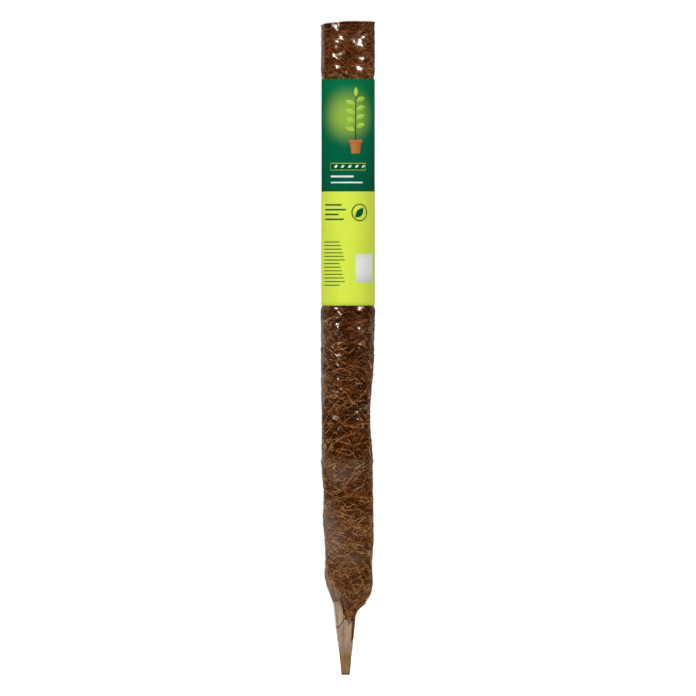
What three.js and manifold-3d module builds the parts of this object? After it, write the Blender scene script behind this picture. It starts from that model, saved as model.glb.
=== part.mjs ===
// A coir plant pole: a pointed timber stake, wrapped in two coir mats that are bound with thread,
// in a clear shrunk film sleeve with a printed band round it.
// Millimetres, +Z up along the stake, with the origin in the middle of the blunt point.
import * as THREE from 'three';
import { mergeVertices } from 'three/addons/utils/BufferGeometryUtils.js';
import loadManifold from 'manifold-3d';

// Driving dimensions: the whole pole
const POLE_LENGTH = 600;
const FIT = 0.3;

// The stake: square timber with eased edges and a four-sided point
const STAKE_SIDE = 20;
const STAKE_EASE = 1;
const STAKE_TURN = THREE.MathUtils.degToRad(-12);
const STAKE_DROP = 2.5;
const TIP_SIDE = 6.5;
const POINT_LENGTH = 78;

// The coir mats: the inner one makes the square round, the outer one is the face
const INNER_MAT_COVER = 1;
const OUTER_MAT_THICKNESS = 6.7;
const COIR_DROP = 2;
const COIR_FOOT_DROP = 5;
const INNER_MAT_RISE = 22;
const FOOT_LIP = 1.2;
const LAP_SLIT = 0.3;
const LAP_EDGE = 0.25;

// The binding thread: a few tight turns at each end and a long spiral between them
const THREAD_DIAMETER = 0.6;
const THREAD_PITCH = 72.5;
const TIE_TURNS = 2;
const TIE_PITCH = 2.4;
const THREAD_RISE = 30;
const THREAD_DROP = 10;
const THREAD_TUCK = 4;
const THREAD_BEND = 1.2;
const THREAD_HOLE = 2.4;
const TURN_STEPS = 24;
const THREAD_SIDES = 6;

// The film sleeve
const FILM_WALL = 0.2;
const FILM_FOOT = 22;
const NECK_DROP = 17.5;
const NECK_SLANT = -0.55;
const LIP_WIDTH = 6;
const LIP_CORNER = 1.2;

// The printed band and the glue line in its overlap
const LABEL_HEIGHT = 207.6;
const LABEL_DROP = 53.7;
const LABEL_WALL = 0.25;
const GLUE_WALL = 0.15;
const GLUE_GAP = 0.15;

// The staple that pins the sleeve to the stake
const STAPLE_HEIGHT = 36.5;
const STAPLE_SIDE_SHIFT = -0.8;
const STAPLE_CROWN = 5.5;
const STAPLE_LEG = 5;
const STAPLE_WIRE = 0.7;

// Every round section has corners at the same angles, four of them on the stake's edges
const RING_STEPS = 32;
const RING_STEP = (2 * Math.PI) / RING_STEPS;
const COIR_LAP_START = 2;
const COIR_LAP_STEPS = 5;
const INNER_LAP_START = 18;
const INNER_LAP_STEPS = 4;
const LABEL_LAP_START = 4;
const LABEL_LAP_STEPS = 3;

// Worked out from the values above
const STAKE_TOP = POLE_LENGTH - STAKE_DROP;
const COIR_TOP = POLE_LENGTH - COIR_DROP;
const COIR_FOOT = POINT_LENGTH - COIR_FOOT_DROP;
const STAKE_BORE = STAKE_SIDE / 2 + FIT;
const INNER_MAT_RADIUS = STAKE_BORE * Math.SQRT2 + INNER_MAT_COVER;
const OUTER_MAT_BORE = INNER_MAT_RADIUS + FIT;
const COIR_RADIUS = OUTER_MAT_BORE + OUTER_MAT_THICKNESS;
const FOOT_RADIUS = STAKE_BORE * Math.SQRT2 + FOOT_LIP;
const THREAD_RADIUS = THREAD_DIAMETER / 2;
const THREAD_OFFSET = FIT + THREAD_RADIUS;
const FILM_OFFSET = FIT + THREAD_DIAMETER + FIT;
const LABEL_OFFSET = FILM_OFFSET + FILM_WALL + FIT;
const LABEL_TOP = POLE_LENGTH - LABEL_DROP;
const LABEL_BOTTOM = LABEL_TOP - LABEL_HEIGHT;
const LABEL_LAP_LIFT = LABEL_WALL + GLUE_GAP + GLUE_WALL + GLUE_GAP;

// The coir's foot draws in, lower on the right than on the left. fill: 0 at the stake, 1 at the shaft
const FOOT_SHAPE = [
  { up: 0, fill: 0, drift: 0.4, slant: -0.5, open: 0 },
  { up: 4.3, fill: 0.43, drift: 1.2, slant: -0.44, open: 0.35 },
  { up: 8.8, fill: 0.83, drift: 1.8, slant: -0.4, open: 0.7 },
  { up: 13.8, fill: 1.05, drift: 2.3, slant: -0.33, open: 1 },
  { up: 18.3, fill: 1.03, drift: 2.7, slant: -0.26, open: 1 },
];

// The shaft's lumps and waists. up: above the foot, swell: change of radius, drift: to the right
const SHAFT_SHAPE = [
  { up: 27.8, swell: -2.3, drift: 2.7 },
  { up: 37.8, swell: -1.8, drift: 3.1 },
  { up: 51.8, swell: -1.1, drift: 3.2 },
  { up: 73.8, swell: -0.7, drift: 2.6 },
  { up: 132.8, swell: -0.4, drift: 1.3 },
  { up: 154.8, swell: -1, drift: 0.6 },
  { up: 169.8, swell: -1.5, drift: 0 },
  { up: 184.8, swell: -0.8, drift: 0.7 },
  { up: 220.8, swell: 0.3, drift: 1.9 },
  { up: 264.8, swell: 0.3, drift: 2.1 },
];
const FOOT_FULL_SWELL = -1.9;

const COLOURS = {
  timber: 0xb9a27e,
  coir: 0x5a3a22,
  innerCoir: 0x4a2f1c,
  nylon: 0xd8cfc0,
  film: 0xe6e4e0,
  label: 0x0a6b48,
  glue: 0xe9e2c8,
  steel: 0x9a9a98,
};

const wasm = await loadManifold();
wasm.setup();

// A solid for cutting, from a closed geometry
function toSolid(geometry) {
  const bare = geometry.clone();
  bare.deleteAttribute('normal');
  bare.deleteAttribute('uv');
  const welded = mergeVertices(bare);
  const mesh = new wasm.Mesh({
    numProp: 3,
    vertProperties: new Float32Array(welded.attributes.position.array),
    triVerts: new Uint32Array(welded.index.array),
  });
  return new wasm.Manifold(mesh);
}

function toGeometry(solid) {
  const mesh = solid.getMesh();
  const geometry = new THREE.BufferGeometry();
  geometry.setAttribute('position', new THREE.BufferAttribute(mesh.vertProperties, 3));
  geometry.setIndex(new THREE.BufferAttribute(mesh.triVerts, 1));
  geometry.computeVertexNormals();
  return geometry;
}

function cut(geometry, cutters) {
  return toGeometry(cutters.reduce((solid, cutter) => solid.subtract(toSolid(cutter)), toSolid(geometry)));
}

function indexed(points, triangles) {
  const geometry = new THREE.BufferGeometry().setFromPoints(points);
  geometry.setIndex(triangles);
  geometry.computeVertexNormals();
  return geometry;
}

// Two triangles for each side between neighbouring rings, which run anticlockwise seen from above
function skin(count, ringPairs) {
  const triangles = [];
  for (const [low, high] of ringPairs) {
    for (let i = 0; i < count; i += 1) {
      const next = (i + 1) % count;
      const [a, b] = [low * count + i, low * count + next];
      const [c, d] = [high * count + i, high * count + next];
      triangles.push(a, b, c, b, d, c);
    }
  }
  return triangles;
}

// A flat end on a ring, by quads between the points of its first half and those that face them
function cap(count, first, facesUp) {
  const triangles = [];
  for (let k = 0; k < count / 2 - 1; k += 1) {
    const [a, b, c, d] = [k, k + 1, count - 2 - k, count - 1 - k].map((corner) => first + corner);
    triangles.push(...(facesUp ? [a, b, c, a, c, d] : [a, c, b, a, d, c]));
  }
  return triangles;
}

// A solid through a stack of rings, with flat ends
function stacked(rings) {
  const count = rings[0].length;
  const pairs = rings.slice(1).map((ring, i) => [i, i + 1]);
  const triangles = skin(count, pairs);
  triangles.push(...cap(count, 0, false));
  triangles.push(...cap(count, count * (rings.length - 1), true));
  return indexed(rings.flat(), triangles);
}

// A thin shell: rings up the outside, then down the inside and back to the first
function shell(rings) {
  const pairs = rings.map((ring, i) => [i, (i + 1) % rings.length]);
  return indexed(rings.flat(), skin(rings[0].length, pairs));
}

const lerp = THREE.MathUtils.lerp;

function ringAngle(step) {
  return STAKE_TURN + Math.PI / 4 + step * RING_STEP;
}

// How far a square of this half side reaches at a ring step, with its corners on the stake's edges
function squareReach(half, step) {
  const angle = Math.PI / 4 + step * RING_STEP;
  return half / Math.max(Math.abs(Math.cos(angle)), Math.abs(Math.sin(angle)));
}

function stakeHalf(z) {
  return lerp(TIP_SIDE, STAKE_SIDE, Math.min(z / POINT_LENGTH, 1)) / 2;
}

// The coir's sections from the foot to the top. A slanted section's height changes with x
const COIR_LEVELS = [
  ...FOOT_SHAPE.map(({ up, fill, drift, slant, open }) => ({
    z: COIR_FOOT + up,
    radius: lerp(FOOT_RADIUS, COIR_RADIUS + FOOT_FULL_SWELL, fill),
    drift,
    slant,
    open,
  })),
  ...SHAFT_SHAPE.map(({ up, swell, drift }) => ({
    z: COIR_FOOT + up,
    radius: COIR_RADIUS + swell,
    drift,
    slant: 0,
    open: 1,
  })),
].filter(({ z }) => z < COIR_TOP);
COIR_LEVELS.push({ ...COIR_LEVELS.at(-1), z: COIR_TOP });

// The coir's section at a height on the shaft, straight between the levels
function coirAt(z) {
  const above = COIR_LEVELS.findIndex((level) => level.z >= z);
  const [low, high] = [COIR_LEVELS[above - 1], COIR_LEVELS[above]];
  const share = (z - low.z) / (high.z - low.z);
  const blend = (key) => lerp(low[key], high[key], share);
  return { z, radius: blend('radius'), drift: blend('drift'), slant: blend('slant'), open: blend('open') };
}

// The levels of the coir from one height on the shaft to another, both included
function coirBetween(bottom, top) {
  const inside = COIR_LEVELS.filter(({ z }) => z > bottom && z < top);
  return [coirAt(bottom), ...inside, coirAt(top)];
}

// A point of a section, at a reach from its drifted middle
function roundPoint(level, reach, step) {
  const angle = ringAngle(step);
  const out = reach * Math.cos(angle);
  const rise = level.slant * out;
  return new THREE.Vector3(level.drift + out, reach * Math.sin(angle), level.z + rise);
}

// A point of a section, at a reach from the stake's axis
function borePoint(level, reach, step) {
  const angle = ringAngle(step);
  const out = reach * Math.cos(angle);
  const rise = level.slant * (out - level.drift);
  return new THREE.Vector3(out, reach * Math.sin(angle), level.z + rise);
}

function roundRing(level, offset) {
  const steps = Array.from({ length: RING_STEPS }, (_, step) => step);
  return steps.map((step) => roundPoint(level, level.radius + offset, step));
}

// The edge of a sheet rolled once round with a lap: along its outer face, then back along its inner
function rolledRing(start, lapSteps, outerAt, innerAt) {
  const steps = Array.from({ length: RING_STEPS + lapSteps + 1 }, (_, k) => k);
  const outside = steps.map((k) => outerAt(k, start + k));
  const inside = steps.map((k) => innerAt(k, start + k)).reverse();
  return [...outside, ...inside];
}

// A mat whose two ends are thinned and lapped. share 0 is at the bore and 1 at the outer face
function lappedMat(start, lapSteps, between) {
  const thickness = (step) => between(0, step).distanceTo(between(1, step));
  const lapShare = (k, step) => lerp(LAP_EDGE, 1 - LAP_EDGE - LAP_SLIT / thickness(step), k / lapSteps);
  const outerAt = (k, step) => between(k <= lapSteps ? lapShare(k, step) : 1, step);
  const innerAt = (k, step) => {
    const over = k - RING_STEPS;
    return between(over < 0 ? 0 : lapShare(over, step) + LAP_SLIT / thickness(step), step);
  };
  return rolledRing(start, lapSteps, outerAt, innerAt);
}

function makeStake() {
  const section = (half, ease, z) => {
    const flat = half - ease;
    const corners = [[half, -flat], [half, flat], [flat, half], [-flat, half]];
    corners.push([-half, flat], [-half, -flat], [-flat, -half], [flat, -half]);
    return corners.map(([x, y]) => new THREE.Vector3(x, y, z));
  };
  const tipEase = (STAKE_EASE * TIP_SIDE) / STAKE_SIDE;
  const blank = stacked([
    section(TIP_SIDE / 2, tipEase, 0),
    section(STAKE_SIDE / 2, STAKE_EASE, POINT_LENGTH),
    section(STAKE_SIDE / 2, STAKE_EASE, STAKE_TOP),
  ]);
  return cut(blank, stapleHoles());
}

function makeInnerMat() {
  const levels = [COIR_FOOT + INNER_MAT_RISE, COIR_TOP].map((z) => ({ z, drift: 0, slant: 0 }));
  return stacked(levels.map((level) => {
    const reach = (share, step) => lerp(squareReach(STAKE_BORE, step), INNER_MAT_RADIUS, share);
    const between = (share, step) => borePoint(level, reach(share, step), step);
    return lappedMat(INNER_LAP_START, INNER_LAP_STEPS, between);
  }));
}

function makeOuterMat() {
  const blank = stacked(COIR_LEVELS.map((level) => {
    const bore = (step) => lerp(squareReach(STAKE_BORE, step), OUTER_MAT_BORE, level.open);
    const between = (share, step) => {
      const inside = borePoint(level, bore(step), step);
      return inside.lerp(roundPoint(level, level.radius, step), share);
    };
    return lappedMat(COIR_LAP_START, COIR_LAP_STEPS, between);
  }));
  return cut(blank, threadEnds().map(threadHole));
}

// The thread's angle and height at both ends, where its tails go into the coir
function threadEnds() {
  const bottom = COIR_FOOT + THREAD_RISE;
  const top = COIR_TOP - THREAD_DROP;
  const tie = TIE_TURNS * TIE_PITCH;
  const spiralTurns = (top - bottom - 2 * tie) / THREAD_PITCH;
  return [
    { turn: 0, z: bottom, ahead: 1 },
    { turn: 2 * TIE_TURNS + spiralTurns, z: top, ahead: -1 },
  ];
}

function threadPoint(turn, z, lift) {
  const { radius, drift } = coirAt(z);
  const angle = turn * 2 * Math.PI;
  const reach = radius + THREAD_OFFSET + lift;
  return new THREE.Vector3(drift + reach * Math.cos(angle), reach * Math.sin(angle), z);
}

// A radial hole in the coir, deep enough for a tail of thread
function threadHole({ turn, z }) {
  const [mouth, end] = [threadPoint(turn, z, 1), threadPoint(turn, z, -THREAD_TUCK - FIT)];
  const hole = new THREE.CylinderGeometry(THREAD_HOLE / 2, THREAD_HOLE / 2, mouth.distanceTo(end), 8);
  const along = mouth.clone().sub(end).normalize();
  const turned = new THREE.Quaternion().setFromUnitVectors(new THREE.Vector3(0, 1, 0), along);
  const middle = mouth.add(end).multiplyScalar(0.5);
  return hole.applyQuaternion(turned).translate(middle.x, middle.y, middle.z);
}

// A tail: straight out of the coir and bent over into the first turn
function threadTail({ turn, z, ahead }) {
  const angle = turn * 2 * Math.PI;
  const sideways = new THREE.Vector3(-Math.sin(angle), Math.cos(angle), 0).multiplyScalar(ahead);
  const straight = [-THREAD_TUCK, -THREAD_TUCK + THREAD_DIAMETER, -THREAD_BEND];
  const tail = straight.map((lift) => threadPoint(turn, z, lift));
  for (const bend of [Math.PI / 6, Math.PI / 3, Math.PI / 2]) {
    const point = threadPoint(turn, z, THREAD_BEND * (Math.sin(bend) - 1));
    tail.push(point.addScaledVector(sideways, THREAD_BEND * (1 - Math.cos(bend))));
  }
  return tail;
}

function threadPath() {
  const [first, last] = threadEnds();
  const steps = Math.round(last.turn * TURN_STEPS);
  const tie = TIE_TURNS * TIE_PITCH;
  const heightAt = (turn) => {
    if (turn < TIE_TURNS) return first.z + turn * TIE_PITCH;
    if (turn > last.turn - TIE_TURNS) return last.z - (last.turn - turn) * TIE_PITCH;
    return first.z + tie + (turn - TIE_TURNS) * THREAD_PITCH;
  };
  const wound = [];
  for (let step = 1; step < steps; step += 1) {
    const turn = (step / steps) * last.turn;
    wound.push(threadPoint(turn, heightAt(turn), 0));
  }
  return [...threadTail(first), ...wound, ...threadTail(last).reverse()];
}

// The least clear distance of the thread to itself, past the stretch that is its own neighbour
function leastSelfGap(path) {
  const apart = TURN_STEPS / 2;
  let least = Infinity;
  path.forEach((point, i) => {
    for (let j = i + apart; j < path.length; j += 1) {
      least = Math.min(least, point.distanceTo(path[j]));
    }
  });
  return least - THREAD_DIAMETER;
}

// A tube of six sides along a list of points, its section carried without twist
function makeThread() {
  const path = threadPath();
  console.log(`binding_thread: least gap to itself ${leastSelfGap(path).toFixed(2)} mm`);
  const along = path.map((point, i) => {
    const [before, after] = [path[Math.max(i - 1, 0)], path[Math.min(i + 1, path.length - 1)]];
    return after.clone().sub(before).normalize();
  });
  const side = new THREE.Vector3(0, 0, 1);
  const rings = path.map((point, i) => {
    side.addScaledVector(along[i], -side.dot(along[i])).normalize();
    const up = along[i].clone().cross(side);
    return Array.from({ length: THREAD_SIDES }, (_, k) => {
      const angle = (k / THREAD_SIDES) * 2 * Math.PI;
      return point.clone()
        .addScaledVector(side, THREAD_RADIUS * Math.cos(angle))
        .addScaledVector(up, THREAD_RADIUS * Math.sin(angle));
    });
  });
  const triangles = skin(THREAD_SIDES, rings.slice(1).map((ring, i) => [i, i + 1]));
  const last = THREAD_SIDES * (rings.length - 1);
  for (let k = 1; k < THREAD_SIDES - 1; k += 1) {
    triangles.push(0, k + 1, k, last, last + k, last + k + 1);
  }
  return indexed(rings.flat(), triangles);
}

// One ring of the sleeve on the stake, following its taper
function neckRing(z, slant, offset) {
  return Array.from({ length: RING_STEPS }, (_, step) => {
    const rise = slant * stakeHalf(z) * Math.cos(ringAngle(step));
    const reach = squareReach(stakeHalf(z + rise) + FIT, step) + offset;
    return borePoint({ z: z + rise, drift: 0, slant: 0 }, reach, step);
  });
}

function makeFilm() {
  const wallRings = (offset) => {
    const neckTop = neckRing(COIR_FOOT - NECK_DROP + FIT, NECK_SLANT, offset);
    const shaft = COIR_LEVELS.map((level) => roundRing(level, FILM_OFFSET + offset));
    const funnel = shaft[0].map((point, i) => {
      const level = point.clone().lerp(neckTop[i], 0.6);
      return level.setZ(lerp(point.z, neckTop[i].z, 0.37));
    });
    return [neckRing(FILM_FOOT, 0, offset), neckTop, funnel, ...shaft];
  };
  const top = COIR_LEVELS.at(-1);
  const lipRing = (drop, reach) => roundRing({ ...top, z: POLE_LENGTH - drop }, reach);
  const outside = wallRings(FILM_WALL);
  const inside = wallRings(0);
  const corner = FILM_OFFSET - LIP_CORNER;
  const lip = [
    lipRing(LIP_CORNER, FILM_OFFSET + FILM_WALL),
    lipRing(0, corner + FILM_WALL / 2),
    lipRing(0, corner - LIP_WIDTH),
    lipRing(FILM_WALL, corner - LIP_WIDTH),
    lipRing(FILM_WALL, corner),
    lipRing(LIP_CORNER + FILM_WALL / 2, FILM_OFFSET),
  ];
  const blank = shell([...outside, ...lip, ...inside.reverse()]);
  return cut(blank, stapleHoles().map((hole) => hole.rotateZ(STAKE_TURN)));
}

// The band's faces rise over its own start in the lap
function labelLift(k) {
  return k >= RING_STEPS ? LABEL_LAP_LIFT : 0;
}

function makeLabel() {
  return stacked(coirBetween(LABEL_BOTTOM, LABEL_TOP).map((level) => {
    const at = (offset) => (k, step) => roundPoint(level, level.radius + offset + labelLift(k), step);
    return rolledRing(LABEL_LAP_START, LABEL_LAP_STEPS, at(LABEL_OFFSET + LABEL_WALL), at(LABEL_OFFSET));
  }));
}

function makeGlueStrip() {
  const bottom = LABEL_OFFSET + LABEL_WALL + GLUE_GAP;
  const steps = Array.from({ length: LABEL_LAP_STEPS + 1 }, (_, k) => LABEL_LAP_START + k);
  return stacked(coirBetween(LABEL_BOTTOM, LABEL_TOP).map((level) => {
    const face = (offset) => steps.map((step) => roundPoint(level, level.radius + offset, step));
    return [...face(bottom + GLUE_WALL), ...face(bottom).reverse()];
  }));
}

// The crown lies on the sleeve over the stake's front face
function crownDepth() {
  return stakeHalf(STAPLE_HEIGHT) + FIT + FILM_WALL + FIT;
}

function stapleHoles() {
  const width = STAPLE_WIRE + 2 * FIT;
  const end = STAPLE_LEG + FIT;
  return [-1, 1].map((hand) => {
    const hole = new THREE.BoxGeometry(width, end, width);
    const x = STAPLE_SIDE_SHIFT + hand * (STAPLE_CROWN - STAPLE_WIRE) / 2;
    return hole.translate(x, end / 2 - crownDepth(), STAPLE_HEIGHT);
  });
}

function makeStaple() {
  const [half, inner] = [STAPLE_CROWN / 2, STAPLE_CROWN / 2 - STAPLE_WIRE];
  const outline = new THREE.Shape();
  outline.moveTo(-half, 0);
  outline.absarc(-half + STAPLE_WIRE, 0, STAPLE_WIRE, Math.PI, 1.5 * Math.PI);
  outline.absarc(half - STAPLE_WIRE, 0, STAPLE_WIRE, 1.5 * Math.PI, 2 * Math.PI);
  outline.lineTo(half, STAPLE_LEG - STAPLE_WIRE);
  outline.lineTo(inner, STAPLE_LEG);
  outline.lineTo(inner, 0);
  outline.lineTo(-inner, 0);
  outline.lineTo(-inner, STAPLE_LEG);
  outline.lineTo(-half, STAPLE_LEG - STAPLE_WIRE);
  const bar = { depth: STAPLE_WIRE, bevelEnabled: false, curveSegments: 4 };
  const staple = new THREE.ExtrudeGeometry(outline, bar);
  return staple.translate(STAPLE_SIDE_SHIFT, -crownDepth(), STAPLE_HEIGHT - STAPLE_WIRE / 2);
}

function part(name, geometry, color, roughness, metalness = 0) {
  const mesh = new THREE.Mesh(geometry, new THREE.MeshStandardMaterial({ color, roughness, metalness }));
  mesh.name = name;
  return mesh;
}

const timber = new THREE.Group();
timber.rotation.z = STAKE_TURN;
timber.add(part('wooden_stake', makeStake(), COLOURS.timber, 0.8));
timber.add(part('neck_staple', makeStaple(), COLOURS.steel, 0.4, 1));

const pole = new THREE.Group();
pole.add(timber);
pole.add(part('coir_inner_mat', makeInnerMat(), COLOURS.innerCoir, 1));
pole.add(part('coir_outer_mat', makeOuterMat(), COLOURS.coir, 1));
pole.add(part('binding_thread', makeThread(), COLOURS.nylon, 0.3));
pole.add(part('film_sleeve', makeFilm(), COLOURS.film, 0.15));
pole.add(part('label_band', makeLabel(), COLOURS.label, 0.5));
pole.add(part('label_glue_strip', makeGlueStrip(), COLOURS.glue, 0.6));

export default pole;
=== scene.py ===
"""A coir plant pole in a clear film sleeve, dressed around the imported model. Metres, +Z up, front at -Y."""
import math

import bpy
import numpy as np
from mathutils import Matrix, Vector


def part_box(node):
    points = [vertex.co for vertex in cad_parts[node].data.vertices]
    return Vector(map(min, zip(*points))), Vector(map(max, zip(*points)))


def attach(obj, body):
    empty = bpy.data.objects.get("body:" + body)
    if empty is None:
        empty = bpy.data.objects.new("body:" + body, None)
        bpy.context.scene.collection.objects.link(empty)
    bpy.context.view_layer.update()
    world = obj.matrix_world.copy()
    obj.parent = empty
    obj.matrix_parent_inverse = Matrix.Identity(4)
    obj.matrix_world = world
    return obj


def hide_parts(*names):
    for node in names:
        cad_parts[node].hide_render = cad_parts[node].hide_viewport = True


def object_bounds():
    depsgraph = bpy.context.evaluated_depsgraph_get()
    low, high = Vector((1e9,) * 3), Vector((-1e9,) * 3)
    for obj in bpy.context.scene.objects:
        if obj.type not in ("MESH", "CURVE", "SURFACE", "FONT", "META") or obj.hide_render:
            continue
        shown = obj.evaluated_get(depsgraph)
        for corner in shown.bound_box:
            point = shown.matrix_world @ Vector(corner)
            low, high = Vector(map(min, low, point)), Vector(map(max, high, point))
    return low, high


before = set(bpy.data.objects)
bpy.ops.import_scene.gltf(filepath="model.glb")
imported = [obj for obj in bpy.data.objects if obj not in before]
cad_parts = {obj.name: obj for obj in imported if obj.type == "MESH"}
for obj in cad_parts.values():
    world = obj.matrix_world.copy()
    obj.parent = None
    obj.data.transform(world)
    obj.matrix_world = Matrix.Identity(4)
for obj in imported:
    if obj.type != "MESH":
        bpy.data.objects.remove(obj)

cad_low, cad_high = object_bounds()
scene = bpy.context.scene
scene.view_settings.view_transform = "Standard"

# The view: a long lens, level and square to the front of the pole. The picture is a little taller than the
# pole, which stands near its middle.
PICTURE_HEIGHT = 0.6385
PICTURE_CENTRE = (0.0022, 0.29985)
LENS_MM = 1000
SENSOR_MM = 36
VIEW_DEPTH = 100

camera = bpy.data.objects.new("camera", bpy.data.cameras.new("camera"))
camera.data.lens = LENS_MM
camera.data.sensor_width = SENSOR_MM
camera.data.clip_end = VIEW_DEPTH
camera.location = (PICTURE_CENTRE[0], -PICTURE_HEIGHT * LENS_MM / SENSOR_MM, PICTURE_CENTRE[1])
camera.rotation_euler = (math.pi / 2, 0, 0)
scene.collection.objects.link(camera)
scene.camera = camera


# The studio: an even white room and a pale paper floor. Both look plain white to the camera and in
# reflections, and the floor keeps the pole's shadow.
ROOM_LIGHT = 0.22
FLOOR_RADIUS = 9.0
FLOOR_SIDES = 96
FLOOR_DROP = 0.0004
FLOOR_LIFT = 0.88
FLOOR_GREY = (0.7, 0.7, 0.7, 1)
WHITE = (1, 1, 1, 1)


def add_node(tree, kind, inputs=None, **settings):
    """Adds a shader node. A socket in inputs is linked, and any other value is set on its socket."""
    made = tree.nodes.new(kind)
    for name, value in settings.items():
        setattr(made, name, value)
    for socket, value in (inputs or {}).items():
        if isinstance(value, bpy.types.NodeSocket):
            tree.links.new(value, made.inputs[socket])
        else:
            made.inputs[socket].default_value = value
    return made


def arithmetic(tree, operation, *values):
    """One arithmetic step on numbers or sockets."""
    return add_node(tree, "ShaderNodeMath", dict(enumerate(values)), operation=operation).outputs[0]


def seen_directly(tree):
    """1 where a ray comes from the camera, a reflection or a clear material, and 0 where it lights a
    surface: the greatest of the three flags."""
    path = add_node(tree, "ShaderNodeLightPath").outputs
    shiny = arithmetic(tree, "MAXIMUM", path["Is Glossy Ray"], path["Is Transmission Ray"])
    return arithmetic(tree, "MAXIMUM", path["Is Camera Ray"], shiny)


room = bpy.data.worlds.new("studio_room")
scene.world = room
room.use_nodes = True
room.node_tree.nodes.clear()
room_glow = add_node(room.node_tree, "ShaderNodeBackground", {"Color": WHITE, "Strength": ROOM_LIGHT})
room_seen = add_node(room.node_tree, "ShaderNodeBackground", {"Color": WHITE, "Strength": 1.0})
room_mix = add_node(room.node_tree, "ShaderNodeMixShader",
                    {0: seen_directly(room.node_tree), 1: room_glow.outputs[0], 2: room_seen.outputs[0]})
add_node(room.node_tree, "ShaderNodeOutputWorld", {"Surface": room_mix.outputs[0]})


def new_material(name):
    """An empty node material and its tree."""
    material = bpy.data.materials.new(name)
    material.use_nodes = True
    material.node_tree.nodes.clear()
    return material, material.node_tree


def floor_material():
    """White paper that keeps the shadow. What the camera sees is lifted by an even glow to plain white."""
    material, tree = new_material("floor_paper")
    paper = add_node(tree, "ShaderNodeBsdfDiffuse", {"Color": FLOOR_GREY})
    glow = arithmetic(tree, "MULTIPLY", seen_directly(tree), FLOOR_LIFT)
    lift = add_node(tree, "ShaderNodeEmission", {"Color": WHITE, "Strength": glow})
    both = add_node(tree, "ShaderNodeAddShader", {0: paper.outputs[0], 1: lift.outputs[0]})
    add_node(tree, "ShaderNodeOutputMaterial", {"Surface": both.outputs[0]})
    return material


def full_turn(columns):
    """Even angles, once round."""
    return np.linspace(0, math.tau, columns, endpoint=False)


def floor_disc():
    """A flat round sheet: one many-sided face just below the stake's point."""
    turn = full_turn(FLOOR_SIDES)
    rim = np.stack([np.cos(turn), np.sin(turn), np.zeros_like(turn)], axis=1) * FLOOR_RADIUS
    rim[:, 2] = cad_low[2] - FLOOR_DROP
    mesh = bpy.data.meshes.new("floor")
    mesh.from_pydata(rim.tolist(), [], [list(range(len(rim)))])
    mesh.materials.append(floor_material())
    return bpy.data.objects.new("floor", mesh)


floor = floor_disc()
scene.collection.objects.link(floor)


# The lamps: two broad soft ones light the front from both sides and a weak one the back. Small bright
# panels are only seen in reflections, where they make the film's two rows of warm glints.
LAMP_DISTANCE = 3.0
LAMP_HEIGHT = 1.2
LAMP_SIZE = (1.6, 1.6)
LAMP_COLOUR = (1, 1, 1)
PANEL_DISTANCE = 1.4
PANEL_COLOUR = (1, 0.86, 0.7)
HIGHEST_AIM = 0.5


def add_lamp(name, azimuth, distance, middle, size, watts, colour, glints):
    """A flat lamp that faces the pole. azimuth is in degrees to the right of the camera, middle is its
    height, size is width by height, and glints says whether it shows in reflections or lights surfaces."""
    lamp = bpy.data.lights.new(name, "AREA")
    lamp.shape = "RECTANGLE"
    lamp.size, lamp.size_y = size
    lamp.energy = watts
    lamp.color = colour
    held = bpy.data.objects.new(name, lamp)
    turn = math.radians(azimuth)
    target = Vector((0, 0, min(middle, HIGHEST_AIM)))
    held.location = (distance * math.sin(turn), -distance * math.cos(turn), middle)
    held.rotation_euler = (held.location - target).to_track_quat("Z", "Y").to_euler()
    held.visible_diffuse = not glints
    held.visible_glossy = glints
    scene.collection.objects.link(held)


for name, azimuth, watts in (("lamp_left", -46, 55), ("lamp_right", 44, 45), ("lamp_rear", -160, 40)):
    add_lamp(name, azimuth, LAMP_DISTANCE, LAMP_HEIGHT, LAMP_SIZE, watts, LAMP_COLOUR, glints=False)
for name, azimuth, middle, size, watts in (("panel_left_low", -38, 0.70, (0.14, 0.12), 85),
                                           ("panel_left_high", -54, 1.00, (0.36, 0.28), 330),
                                           ("panel_right", 60, 1.05, (0.58, 0.40), 820)):
    add_lamp(name, azimuth, PANEL_DISTANCE, middle, size, watts, PANEL_COLOUR, glints=True)


# The stake: square softwood, sawn rough and left bare, with a four-sided point that is cut blunt. It stands
# turned a little, so that a narrow strip of its right face shows from the front.
STAKE_HALF = 0.010
TIP_HALF = 0.00325
POINT_LENGTH = 0.078
STAKE_TURN = math.radians(-12)
STAKE_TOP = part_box("wooden_stake")[1][2]
STAKE_SHARPNESS = 40
STAKE_COLUMNS = 144
STAKE_ROWS = 280
SAW_DEPTH = 0.00003
WAVE_DEPTH = 0.00008
PLAIN_END = 0.004
GRAIN_SCALE = (300, 300, 10)
PORE_SCALE = (1500, 1500, 60)
PORE_DEPTH = 0.0002
BRUISED_UP_TO = (0.016, 0.03)
DARK_END_UP_TO = 0.004
TIMBER_PALE = (212, 196, 168)
TIMBER_MID = (189, 169, 139)
TIMBER_DARK = (122, 98, 68)
TIMBER_TIP = (128, 88, 38)
TIMBER_END = (42, 28, 12)


def shade(colour):
    """The linear colour of three screen values from 0 to 255."""
    part = np.array(colour) / 255
    linear = np.where(part <= 0.04045, part / 12.92, ((part + 0.055) / 1.055) ** 2.4)
    return (*linear.tolist(), 1.0)


def piece_material(name):
    """A new material, its tree and the place on the pole that its patterns follow."""
    material, tree = new_material(name)
    return material, tree, add_node(tree, "ShaderNodeTexCoord").outputs["Object"]


def noise_value(tree, place, scale, detail, **more):
    """A soft uneven pattern over a place, from 0 to 1."""
    inputs = {"Vector": place, "Scale": scale, "Detail": detail, **more}
    return add_node(tree, "ShaderNodeTexNoise", inputs).outputs["Fac"]


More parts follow.
